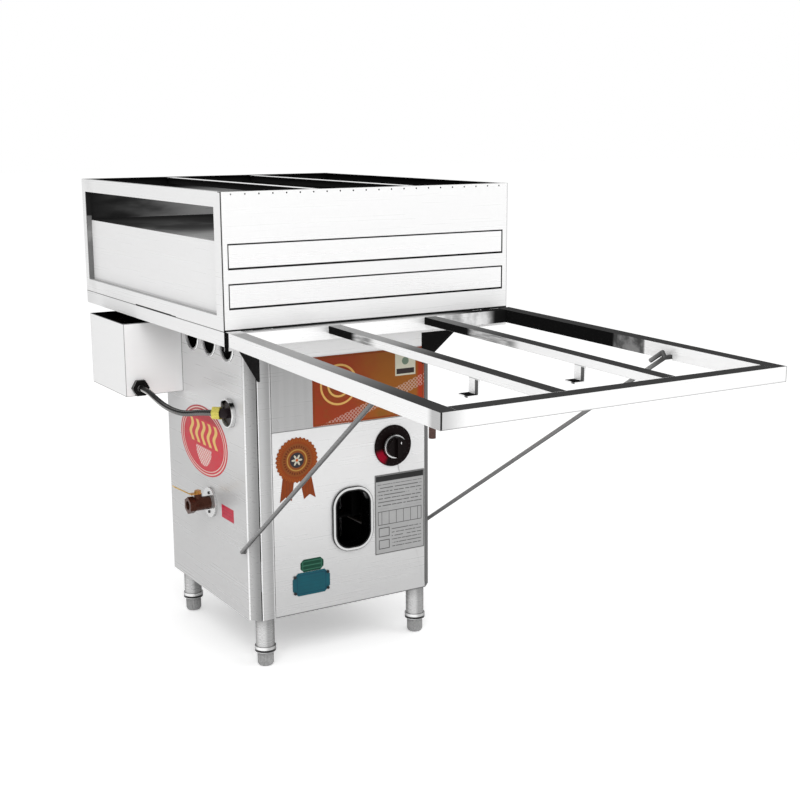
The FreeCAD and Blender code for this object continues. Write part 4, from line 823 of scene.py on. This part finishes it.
def left_side(g, result, x, y, z):
    # Painted light on the left side: lighter towards the top, painted shade on the cut corner with a painted
    # highlight along its edge; then the dark seam before the corner strip.
    corner = g.group("slanted_faces", Facing=g.facing())
    slope = g.mix(g.ramp(x, -207.0, -192.0), grey(0.46), grey(0.28))
    shine = g.ramp(x, -209.7, -209.2) * g.fall(x, -207.6, -206.8)
    return g.coats(result, (g.ramp(z, 330.0, 640.0), 0.82), (corner, slope), (shine * corner, 0.9),
                   (g.ramp(x, -191.2, -190.6), 0.012))


def right_side(g, result, x, y, z):
    # Painted shade on the cut corner.
    return g.mix(g.group("slanted_faces", Facing=g.facing()), result, grey(0.165))


def door_shade(g, result, x, y, z):
    return g.coats(result, (g.ramp(z, 99.0, 430.0, 0.85, 0.0), 0.50),
                   (g.ramp(z, 100.6, 101.6, 0.8, 0.0), 0.06))


def fascia_shade(g, result, x, y, z):
    streak = g.noise(g.join(x * 0.09, z * 0.002, 0.0), 1.0, 3.0)
    return g.coats(result, (g.ramp(streak, 0.4, 0.65, 0.0, 0.15), 0.60),
                   (g.ramp(z, 612.0, 622.0), 0.92))


def strip_shade(g, result, x, y, z):
    # Painted shade across the corner strip, darker towards the right, with painted highlights along both edges.
    return g.coats(result, (g.ramp(x, -184.0, -166.0), 0.36), (g.ramp(x, -164.0, -162.6), 0.62),
                   (g.fall(x, -187.6, -187.0), 0.93))


def water_shade(g, result, x, y, z):
    inside = g.filled(x, y, (-334.6, -210.4), (440.4, 645.6), 0.2)
    hem = g.fall(y, 448.0, 450.0) * g.ramp(g.split(g.facing())[2], 0.6, 0.85)
    return g.coats(result, (inside, 0.005), (hem, 0.17))


class STEAMER_OT_steel_cabinet(bpy.types.Operator):
    """Dress the cabinet, its corner gussets and the water box"""
    bl_idname = "steamer.steel_cabinet"
    bl_label = "Cabinet Steel"

    def execute(self, context):
        steel = context.scene.steamer_steel
        side, dark = tuple(steel.side_colour), tuple(steel.inner_colour)
        # The colours given for each side paint the shade and reflection that side gets; the inner colour is
        # unlit shade.
        clad("left_side_panel", "left_side_steel", side, right=dark, back=dark, front=0.4, paint=left_side,
             marks=0.2)
        clad("right_side_panel", "right_side_steel", side, left=dark, back=dark, front=0.35, paint=right_side,
             marks=0.2)
        clad("back_panel", "cabinet_back_steel", side, front=dark)
        clad("floor_plate", "floor_plate_steel", 0.3, up=dark)
        clad("front_panel", "front_panel_steel", tuple(steel.front_colour), 0.0005, back=dark, left=0.5,
             paint=door_shade, marks=0.2)
        clad("front_fascia", "fascia_steel", tuple(steel.fascia_colour), 0.0005, back=dark, paint=fascia_shade)
        clad("front_corner_strip", "strip_steel", 0.50, 0.0005, back=dark, paint=strip_shade)
        clad("water_box", "water_box_steel", 0.95, front=0.98, up=0.02, right=0.5, down=0.3,
             box=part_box("water_box"), fold=0.0014, paint=water_shade, metal=0.0, marks=0.05, grain=0.004)
        dress(["corner_gussets"], moulded("gusset_enamel", grey(0.009), rough=0.4, gloss=0.03), 0.0004)
        return {"FINISHED"}


# Bright parts

def under_box(g, result, x, y, z):
    # Painted shade on the legs' upper ends, under the cabinet.
    return g.mix(g.ramp(z, 70.0, 98.0, 0.0, 0.35), result, grey(0.12))


def collar_ring(g, result, x, y, z):
    return g.mix(g.line(z - 33.5, 1.8, 0.8), result, grey(0.03))


def strut_head(g, result, x, y, z):
    return g.mix(g.ramp(y, -500.0, -455.0, 0.8, 0.0), result, grey(0.015))


def port_rings(g, result, x, y, z):
    low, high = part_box("sight_port")
    middle, size = ((low + high) / 2 - DATUM) / MM, (high - low) / 2 / MM
    away = g.rounded(x, z, (middle.x, middle.z), (size.x, size.z), PORT_CORNER)
    return g.coats(result, (g.ramp(away, -1.9, -1.2), 0.05), (g.fall(away, -6.4, -5.6), 0.02),
                   (g.fall(away, -8.6, -8.0), 0.003))


def hole_arc(g, result, x, y, z):
    return g.mix(g.ramp(z, 519.0, 527.0) * g.fall(z, 531.0, 532.0), result, grey(0.01))


def rubbed_foot(g, result, x, y, z):
    return g.mix(g.ramp(g.noise(g.place(), 260.0, 3.0), 0.4, 0.62) * 0.5, result, grey(0.24))


class STEAMER_OT_bright_parts(bpy.types.Operator):
    """Dress the legs, struts, rims and other bright round parts"""
    bl_idname = "steamer.bright_parts"
    bl_label = "Bright Parts"

    def execute(self, context):
        dress(["leg_tubes"], round_metal("leg_tube_steel", 0.10, 0.62, 0.26, metal=0.35, paint=under_box))
        dress(["leg_collars"], round_metal("collar_steel", 0.10, 0.9, metal=0.6, paint=collar_ring), 0.0008)
        dress(["strut_left", "strut_right"], round_metal(
            "strut_steel", 0.035, 0.42, 0.25, lamp=(-0.75, -0.3, 0.6), metal=0.25, paint=strut_head))
        dress(["sight_port"], round_metal(
            "port_chrome", 0.25, 0.95, 0.15, lamp=(-0.3, -0.6, 0.7), paint=port_rings), 0.0012)
        dress(["knob_ring"], round_metal("ring_chrome", 0.10, 0.95, 0.12, lamp=(-0.5, -0.7, -0.35)), 0.0008)
        dress(["hose_hole_rim"], round_metal("hole_rim_chrome", 0.5, 0.95, 0.15, paint=hole_arc), 0.0008)
        dress(["inlet_flange"], round_metal("flange_steel", 0.35, 0.92, 0.2), 0.0008)
        dress(["shelf_hinges"], round_metal("hinge_steel", 0.02, 0.15, 0.35), 0.0003)
        dress(["foot_" + place for place in ("front_left", "front_right", "rear_left", "rear_right")],
              moulded("foot_plastic", grey(0.40), rough=0.5, paint=rubbed_foot), 0.0003)
        dress(["small_screws"], moulded("screw_steel", grey(0.02), rough=0.35), 0.0004)
        chrome = round_metal("vent_chrome", 0.03, 0.97, 0.15, lamp=(-0.55, -0.6, -0.6))
        for number, y in enumerate(VENT_ROWS, 1):
            turned_ring("vent_rim_" + str(number), VENT_LIP, at(SIDE_FACE, y, VENT_HEIGHT), (-1, 0, 0), chrome,
                        "base")
        return {"FINISHED"}


class STEAMER_OT_gas_parts(bpy.types.Operator):
    """Dress the gas valve, pipes, burner, tank and float"""
    bl_idname = "steamer.gas_parts"
    bl_label = "Gas and Water Parts"

    def execute(self, context):
        dress(["inlet_valve_body"], turned_brass("valve_bronze", (0.075, 0.028, 0.018), 0.22, 0.5), 0.0006)
        dress(["valve_lever"], turned_brass("lever_brass", (0.62, 0.40, 0.12)), 0.0005)
        dress(["control_valve", "gas_pipes", "knob_spindle"],
              turned_brass("pipe_bronze", (0.02, 0.013, 0.008), 0.45, 0.3))
        dress(["float_valve", "float_arm"], turned_brass("float_bronze", (0.03, 0.02, 0.012)))
        dress(["shelf_spigot"], turned_brass("spigot_bronze", (0.08, 0.048, 0.042)), 0.0003)
        dress(["burner_head"], rough_iron("burner_iron", grey(0.015)), 0.0008)
        clad("fire_shroud", "shroud_steel", 0.02, rough=0.45)
        clad("water_tank", "tank_steel", 0.05, rough=0.4)
        return {"FINISHED"}


# Hose

def braid(g, turns):
    # Woven strands, dark but for a painted highlight along the hose's lower side that fades along its length,
    # and a fainter painted highlight line beside it.
    u, v, _ = g.split(g.out("ShaderNodeTexCoord", "UV"))
    across = u * (STRANDS * 2 * math.pi)
    along = v * (2 * math.pi * turns * STRANDS / 4)
    woven = g.most(g.math("COSINE", across + along), g.math("COSINE", across - along))
    facing = g.vector("NORMALIZE", g.facing())
    under = g.vector("DOT_PRODUCT", facing, (-0.57, -0.42, -0.71))
    nearer = g.ramp(v, 0.2, 0.7, 1.0, 0.22)
    shine = g.ramp(under, 0.35, 0.8) * nearer
    side = g.line(under + 0.15, 0.12, 0.12) * g.ramp(v, 0.3, 0.6)
    bright = g.mix(g.most(shine, side * 0.25), grey(0.02), (0.92, 0.91, 0.89))
    colour = g.mix(g.ramp(woven, -0.1, 0.6), g.mix(shine, grey(0.006), grey(0.35)), bright)
    fleck = g.noise(g.place(), 1500.0, 2.0)
    return {"Base Color": colour, "Metallic": 0.4, "Specular IOR Level": 0.1,
            "Roughness": g.ramp(fleck, 0.3, 0.7, 0.25, 0.4), "Normal": g.bump(woven, 0.0002, 0.6)}


def ribs(g, result, x, y, z):
    # Painted highlights on the fitting's ribs, on the side that faces left.
    rib = g.ramp(g.math("SINE", y * 1.3), 0.55, 0.9)
    lit = g.fall(g.split(g.facing())[0], -0.9, -0.4)
    return g.mix(rib * lit * 0.5, result, grey(0.75))


class STEAMER_OT_hose(bpy.types.Operator):
    """Make the braided hose along its route, and dress its fittings"""
    bl_idname = "steamer.hose"
    bl_label = "Braided Hose"

    def execute(self, context):
        hose = context.scene.steamer_hose
        path = smooth_path(HOSE_ROUTE)
        way = np.concatenate([[0], np.cumsum(np.linalg.norm(np.diff(path, axis=0), axis=1))])
        even = np.linspace(0, way[-1], HOSE_RINGS)
        centre = np.stack([np.interp(even, way, path[:, k]) for k in range(3)], axis=1)
        side, other = path_frames(centre)
        turn = np.linspace(0, 2 * math.pi, HOSE_SIDES, endpoint=False)[None, :]
        share = (even / way[-1])[:, None]
        # Two sets of strands wind opposite ways, and the surface follows the higher of the two.
        wound = 2 * math.pi * hose.strand_turns * STRANDS * share / 4
        weave = np.maximum(np.cos(STRANDS * turn + wound), np.cos(STRANDS * turn - wound)) ** 2
        radius = hose.diameter / 2 - hose.strand_relief * (1 - weave)
        rim = np.cos(turn)[..., None] * side[:, None, :] + np.sin(turn)[..., None] * other[:, None, :]
        points = (centre[:, None, :] + radius[..., None] * rim).reshape(-1, 3)
        start = len(points)
        points = np.concatenate([points, [centre[0]], [centre[-1]]])
        faces = [list(f) for f in ring_faces(HOSE_RINGS, HOSE_SIDES)]
        faces += fan(start, 0, HOSE_SIDES, True) + fan(start + 1, start - HOSE_SIDES, HOSE_SIDES)
        uv = np.stack(np.broadcast_arrays(turn / (2 * math.pi), share), axis=-1).reshape(-1, 2)
        uv = np.concatenate([uv, [[0.5, 0.0]], [[0.5, 1.0]]])
        finish = material("hose_braid", braid, hose.strand_turns)
        piece = new_piece("water_hose", points, faces, finish, "base", uv, True)
        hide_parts("braided_hose")
        dress(["tank_hose_fitting"], moulded(
            "fitting_black", grey(0.008), rough=0.3, gloss=0.05, paint=ribs), 0.0008)
        dress(["hose_elbow"], moulded("elbow_black", (0.018, 0.012, 0.014), rough=0.3, gloss=0.1), 0.0008)
        dress(["hose_nut"], turned_brass("nut_brass", (0.72, 0.63, 0.14), 0.35, 0.15), 0.0007)
        return {"FINISHED"}


# Knob and dial

def dial(g):
    x, z = g.from_middle("dial_plate")
    radius = g.reach(x, z)
    angle = g.math("ARCTAN2", z, x)
    red = g.line(radius - 34.0, 5.0, 6.0) * g.line(angle + 2.5, 0.15, 0.4)
    tick_turn = angle * (12.0 / math.pi)
    near = abs(tick_turn - g.math("ROUND", tick_turn))
    ticks = g.fall(near, 0.05, 0.09) * g.line(radius - 38.0, 1.4, 0.4)
    skin = g.noise(g.place(), 700.0, 2.0)
    colour = g.mix(skin, (0.004, 0.002, 0.002), (0.009, 0.005, 0.005))
    colour = g.coats(colour, (ticks * 0.05, 0.4), (red, (0.30, 0.004, 0.02)))
    return {"Base Color": colour, "Roughness": g.ramp(skin, 0.3, 0.7, 0.3, 0.42),
            "Specular IOR Level": 0.04, "Normal": g.bump(skin, 0.00005, 0.4)}


def white_dot(g, result, x, y, z):
    return g.mix(g.fall(g.reach(x, z, (117.5, 428.0)), 2.4, 3.2), result, grey(0.95))


class STEAMER_OT_knob(bpy.types.Operator):
    """Dress the gas knob with its dot, and its dial"""
    bl_idname = "steamer.knob"
    bl_label = "Knob and Dial"

    def execute(self, context):
        dress(["dial_plate"], material("dial_face", dial), 0.0006)
        dress(["gas_knob"], moulded(
            "knob_black", (0.006, 0.004, 0.004), rough=0.32, gloss=0.05, paint=white_dot), 0.001)
        return {"FINISHED"}


# Signs

def oval(g, red, yellow, pale):
    a, b, _ = g.sheet_place(*OVAL_SIZE)
    edge = g.reach(a, b, stretch=OVAL_SIZE[0] / OVAL_SIZE[1])
    rim = g.most(g.line(edge - 113.0, 1.6, 0.8), g.line(edge - 104.0, 1.0, 0.8))
    wavy = g.math("SINE", b * 0.16) * 6.0
    steam = g.line((a + wavy + 15.0) % 30.0 - 15.0, 6.2, 1.0) * g.inside(a, b, (0.0, 16.0), (75.0, 24.0))
    bowl = g.fall(g.reach(a, b, (0.0, -14.0)), 39.0, 40.0) * g.fall(b, -15.0, -14.0)
    lattice = g.weave(a, b, 9.0, 0.8, 0.6)
    print_fade = g.noise(g.place(), 120.0, 3.0)
    colour = g.mix(print_fade, shaded(red, 0.85), shaded(red, 1.15))
    colour = g.coats(colour, (g.ramp(b, 40.0, 48.0), shaded(red, 0.7)), (rim, pale), (steam, yellow),
                     (bowl, (0.85, 0.72, 0.66)), (bowl * lattice, shaded(red, 1.1)))
    return printed(g, colour, print_fade, 0.3, 0.42, Normal=g.bump(print_fade, 0.00002, 0.3))


def label(g):
    a, b, _ = g.sheet_place(*LABEL_SIZE)
    rows = g.line(b % 7.0 - 3.5, 0.5, 0.5) * g.inside(a, b, (0.0, 0.0), (22.0, 9.0))
    fade = g.noise(g.place(), 150.0, 3.0)
    colour = g.mix(fade, (0.46, 0.006, 0.03), (0.56, 0.012, 0.05))
    colour = g.mix(rows * 0.5, colour, (0.20, 0.004, 0.02))
    return printed(g, colour, fade, 0.32, 0.45)


def fascia(g, orange, yellow, pale):
    a, b, _ = g.sheet_place(258.0, 141.0)
    cloud = g.noise(g.place(), 22.0, 4.0, 0.6)
    across = a + (cloud - 0.5) * 90.0
    colour = g.mix(g.ramp(across, -60.0, 40.0), (0.30, 0.040, 0.010), (0.29, 0.092, 0.010))
    away = g.reach(a, b, (-70.0, 10.0))
    swirl = g.line(away % 16.0 - 8.0, 1.6, 1.0) * g.fall(away, 46.0, 50.0)
    band = g.line(b - a * 0.35 + 42.0, 11.0, 1.0)
    weave = g.weave(a, b, 8.0, 0.9, 0.7)
    colour = g.coats(colour, (g.ramp(cloud, 0.55, 0.8) * 0.5, (0.13, 0.09, 0.012)),
                     (g.ramp(a, 108.0, 118.0), (0.36, 0.035, 0.008)), (band * weave * 0.4, pale),
                     (swirl * 0.75, yellow),
                     (g.inside(a, b, (84.0, 38.0), (24.0, 24.0)), (0.62, 0.60, 0.48)),
                     (g.inside(a, b, (84.0, 23.0), (21.0, 5.5)), (0.03, 0.02, 0.02)),
                     (g.fall(g.reach(a, b, (84.0, 44.0)), 7.5, 8.5), (0.16, 0.22, 0.16)),
                     (g.border(a, b, (0.0, 0.0), (126.0, 67.5), 1.2), shaded(orange, 0.5)))
    return printed(g, colour, cloud, 0.28, 0.42)


def rosette(g, orange):
    a, b, _ = g.sheet_place(93.0, 93.0)
    radius = g.reach(a, b)
    angle = g.math("ARCTAN2", b, a)
    cloud = g.noise(g.place(), 90.0, 3.0)
    pleat = g.math("SINE", angle * 64.0)
    colour = g.mix(cloud, shaded(orange, 0.42), shaded(orange, 0.62))
    bead_turn = angle * (16.0 / math.pi)
    bead = abs(bead_turn - g.math("ROUND", bead_turn))
    beads = g.fall(bead, 0.2, 0.3) * g.line(radius - 27.5, 1.9, 0.6)
    petal = g.math("COSINE", angle * 6.0) * 4.0 + 8.0
    colour = g.coats(colour,
                     (g.ramp(radius, 36.0, 38.0) * g.ramp(pleat, -0.2, 0.6), (0.30, 0.075, 0.010)),
                     (g.fall(radius, 33.0, 34.0), (0.22, 0.060, 0.012)), (beads, shaded(orange, 0.25)),
                     (g.line(radius - 21.0, 1.0, 0.6), (0.42, 0.22, 0.05)),
                     (g.fall(radius, 15.0, 16.0), (0.03, 0.025, 0.03)),
                     (g.fall(radius - petal, -0.6, 0.4), (0.55, 0.52, 0.42)),
                     (g.fall(radius, 2.6, 3.4), orange))
    return printed(g, colour, cloud, 0.3, 0.45, Normal=g.bump(pleat, 0.0001, 0.25))


def tail(g, orange):
    cloud = g.noise(g.place(), 90.0, 3.0)
    fold = g.math("SINE", g.split(g.place())[0] * 900.0)
    colour = g.mix(cloud, shaded(orange, 0.38), shaded(orange, 0.58))
    colour = g.mix(g.ramp(fold, 0.0, 1.0) * 0.35, colour, (0.12, 0.03, 0.012))
    return printed(g, colour, cloud, 0.35, 0.5)


def instruction(g):
    a, b, _ = g.sheet_place(*PLATE_SIZE)
    fade = g.noise(g.place(), 60.0, 3.0)
    colour = g.mix(fade, (0.35, 0.35, 0.35), (0.41, 0.41, 0.41))
    header = g.inside(a, b, (0.0, 76.0), (57.0, 6.0))
    row = g.line(b % 7.5 - 3.75, 0.7, 0.5)
    broken = g.ramp(g.noise(g.join(a * 0.22, g.math("SNAP", b, 7.5), 0.0), 1.0, 1.0), 0.40, 0.46)
    rows = row * broken * g.inside(a, b, (0.0, 38.0), (53.0, 26.0))
    lower = row * broken * g.inside(a, b, (16.0, -52.0), (36.0, 22.0))
    boxes = g.most(*(g.border(a, b, centre, halves, half) for centre, halves, half in (
        ((0.0, 0.0), (58.0, 83.3), 0.6), ((-38.0, -38.0), (12.0, 9.0), 0.7),
        ((-38.0, -64.0), (12.0, 9.0), 0.7), ((0.0, -8.0), (52.0, 14.0), 0.5))))
    cell = g.line(a % 17.3 - 8.6, 0.5, 0.4) * g.inside(a, b, (0.0, -8.0), (52.0, 14.0))
    ink = g.most(header, rows * 0.75, lower * 0.7, boxes * 0.8, cell * 0.7)
    colour = g.mix(ink, colour, (0.02, 0.02, 0.02))
    return printed(g, colour, fade, 0.35, 0.45)


def tag(g, green):
    a, b, _ = g.sheet_place(*TAG_SIZE)
    fade = g.noise(g.place(), 200.0, 3.0)
    colour = g.mix(fade, shaded(green, 0.32), shaded(green, 0.48))
    lines = g.most(g.border(a, b, (0.0, 0.0), (21.0, 8.5), 0.6), g.line(b, 0.8, 0.5))
    colour = g.mix(lines * g.inside(a, b, (0.0, 0.0), (22.0, 10.0)) * 0.35, colour, (0.10, 0.30, 0.20))
    return printed(g, colour, fade, 0.3, 0.45)


def rating(g):
    a, b = g.from_middle("rating_plate")
    fade = g.noise(g.place(), 80.0, 3.0)
    colour = g.mix(fade, (0.005, 0.068, 0.090), (0.008, 0.090, 0.118))
    rows = g.line(b % 8.0 - 4.0, 0.4, 0.4) * g.inside(a, b, (0.0, 0.0), (29.0, 16.0))
    edge = g.border(a, b, (0.0, 0.0), (32.0, 19.0), 0.6)
    colour = g.coats(colour, (rows * 0.25, (0.004, 0.04, 0.05)), (edge * 0.6, (0.004, 0.03, 0.07)))
    return printed(g, colour, fade, 0.35, 0.5)


class STEAMER_OT_side_signs(bpy.types.Operator):
    """Make the oval sign and the small red label on the left side"""
    bl_idname = "steamer.side_signs"
    bl_label = "Side Signs"

    def execute(self, context):
        signs = context.scene.steamer_signs
        colours = (tuple(signs.sign_red), tuple(signs.sign_yellow), tuple(signs.sign_pale))
        for name, outline, y, z, finish in (
                ("side_oval_sign", round_outline(*OVAL_SIZE, 96), 340, 425,
                 material("oval_print", oval, *colours)),
                ("side_red_label", cut_corner_outline(*LABEL_SIZE, 0.6), 229, 296.5,
                 material("label_print", label))):
            printed_sheet(name, outline, at(SIDE_FACE, y, z), (0, -1, 0), (0, 0, 1), signs.thickness, finish)
        return {"FINISHED"}


class STEAMER_OT_front_signs(bpy.types.Operator):
    """Make the fascia sign, rosette, instruction plate and green tag"""
    bl_idname = "steamer.front_signs"
    bl_label = "Front Signs"

    def execute(self, context):
        signs = context.scene.steamer_signs
        orange, thin = tuple(signs.sign_orange), signs.thickness

        def front_sheet(name, outline, x, z, thickness, finish, forward=0.0):
            printed_sheet(name, outline, at(x, DOOR_FACE - forward, z), (1, 0, 0), (0, 0, 1), thickness, finish)

        front_sheet("fascia_sign", cut_corner_outline(258, 139, 0.6), 59, 547.5, thin, material(
            "fascia_print", fascia, orange, tuple(signs.sign_yellow), tuple(signs.sign_pale)))
        tail_print = material("tail_print", tail, orange)
        for name, x, lean in (("rosette_tail_left", -124, -9), ("rosette_tail_right", -92, 12)):
            front_sheet(name, ribbon_outline(13.0, 31.0, lean), x, 366, thin, tail_print)
        front_sheet("rosette_sign", round_outline(90, 90, 192, 32, 0.03), -107.5, 416.5, thin * 2,
                    material("rosette_print", rosette, orange), 0.4)
        front_sheet("instruction_plate", cut_corner_outline(*PLATE_SIZE, 1.0), 128.25, 275, thin * 1.5,
                    material("instruction_print", instruction))
        front_sheet("green_tag", cut_corner_outline(*TAG_SIZE, 7.0), -78, 197, thin,
                    material("tag_print", tag, tuple(signs.tag_green)))
        dress(["rating_plate"], material("rating_print", rating), 0.0003)
        return {"FINISHED"}


# Studio

class STEAMER_OT_stage(bpy.types.Operator):
    """Set the floor, the light and the camera"""
    bl_idname = "steamer.stage"
    bl_label = "Stage"

    def execute(self, context):
        scene, stage = context.scene, context.scene.steamer_stage
        steps = np.linspace(-stage.floor_size / 2, stage.floor_size / 2, FLOOR_STEPS)
        x, y = np.meshgrid(steps, steps, indexing="ij")
        points = np.stack([x, y, np.full_like(x, FLOOR_DROP)], axis=-1).reshape(-1, 3)
        mesh = bpy.data.meshes.new("studio_floor")
        mesh.from_pydata(points.tolist(), [], ring_faces(FLOOR_STEPS, FLOOR_STEPS, False).tolist())
        mesh.update()

        ground = bpy.data.materials.new("pale_floor")
        ground.use_nodes = True
        g = Graph(ground.node_tree)
        nodes = ground.node_tree.nodes
        nodes.remove(nodes["Principled BSDF"])
        spots = g.noise(g.place(), 40.0, 3.0)
        diffuse = g.node("ShaderNodeBsdfDiffuse", Color=g.mix(spots, grey(0.90), grey(0.93)))
        lift = g.node("ShaderNodeEmission", Color=(1, 1, 1), Strength=g.seen() * FLOOR_GLOW)
        total = g.node("ShaderNodeAddShader")
        g.feed(total.inputs[0], diffuse.outputs[0])
        g.feed(total.inputs[1], lift.outputs[0])
        g.feed(nodes["Material Output"].inputs["Surface"], total.outputs[0])
        mesh.materials.append(ground)
        floor = bpy.data.objects.new("studio_floor", mesh)
        scene.collection.objects.link(floor)

        world = bpy.data.worlds.new("studio_sky")
        world.use_nodes = True
        scene.world = world
        g = Graph(world.node_tree)
        background = world.node_tree.nodes["Background"]
        g.feed(background.inputs["Color"], (1, 1, 1))
        g.feed(background.inputs["Strength"], g.ramp(g.seen(), 0.0, 1.0, stage.sky, 1.0))

        aim = DATUM + Vector((0, 0.2, 0.6))
        for name, place, size, power in (
                ("key_lamp", (-1.6, -2.4, 3.0), 2.4, stage.key_power),
                ("fill_lamp", (2.4, -1.6, 2.0), 2.0, stage.key_power * 0.35)):
            lamp = bpy.data.lights.new(name, "AREA")
            lamp.shape = "SQUARE"
            lamp.size = size
            lamp.energy = power
            holder = bpy.data.objects.new(name, lamp)
            holder.location = DATUM + Vector(place)
            holder.rotation_euler = (aim - holder.location).to_track_quat("-Z", "Y").to_euler()
            holder.visible_camera = False
            holder.visible_glossy = False
            scene.collection.objects.link(holder)

        yaw, pitch, roll = map(math.radians, CAMERA_TURN)
        turned = (Matrix.Rotation(-yaw, 4, "Z") @ Matrix.Rotation(math.pi / 2 + pitch, 4, "X")
                  @ Matrix.Rotation(roll, 4, "Z"))
        lens = bpy.data.cameras.new("photo_camera")
        lens.lens = stage.lens
        lens.sensor_width = 36.0
        lens.clip_end = 200.0
        camera = bpy.data.objects.new("photo_camera", lens)
        camera.matrix_world = Matrix.Translation(at(*CAMERA_PLACE)) @ turned
        scene.collection.objects.link(camera)
        scene.camera = camera
        scene.view_settings.view_transform = "Standard"
        return {"FINISHED"}


OPERATORS = (STEAMER_OT_hose, STEAMER_OT_steel_box, STEAMER_OT_steel_shelf, STEAMER_OT_steel_cabinet,
             STEAMER_OT_bright_parts, STEAMER_OT_gas_parts, STEAMER_OT_knob, STEAMER_OT_side_signs,
             STEAMER_OT_front_signs, STEAMER_OT_stage)
SETTINGS = {"steamer_steel": SteamerSteel, "steamer_signs": SteamerSigns, "steamer_hose": SteamerHose,
            "steamer_stage": SteamerStage}


class STEAMER_PT_panel(bpy.types.Panel):
    """Lists the steamer's steps"""
    bl_label = "Steamer"
    bl_idname = "STEAMER_PT_panel"
    bl_space_type = "VIEW_3D"
    bl_region_type = "UI"
    bl_category = "Steamer"

    def draw(self, context):
        for operator in OPERATORS:
            self.layout.operator(operator.bl_idname)


def register():
    for group in SETTINGS.values():
        bpy.utils.register_class(group)
    for name, group in SETTINGS.items():
        setattr(bpy.types.Scene, name, bpy.props.PointerProperty(type=group))
    for operator in OPERATORS:
        bpy.utils.register_class(operator)
    bpy.utils.register_class(STEAMER_PT_panel)


def unregister():
    bpy.utils.unregister_class(STEAMER_PT_panel)
    for operator in reversed(OPERATORS):
        bpy.utils.unregister_class(operator)
    for name, group in SETTINGS.items():
        delattr(bpy.types.Scene, name)
        bpy.utils.unregister_class(group)


def main():
    register()
    make_effects()
    for operator in OPERATORS:
        group, name = operator.bl_idname.split(".")
        getattr(getattr(bpy.ops, group), name)()


if __name__ == "__main__":
    main()
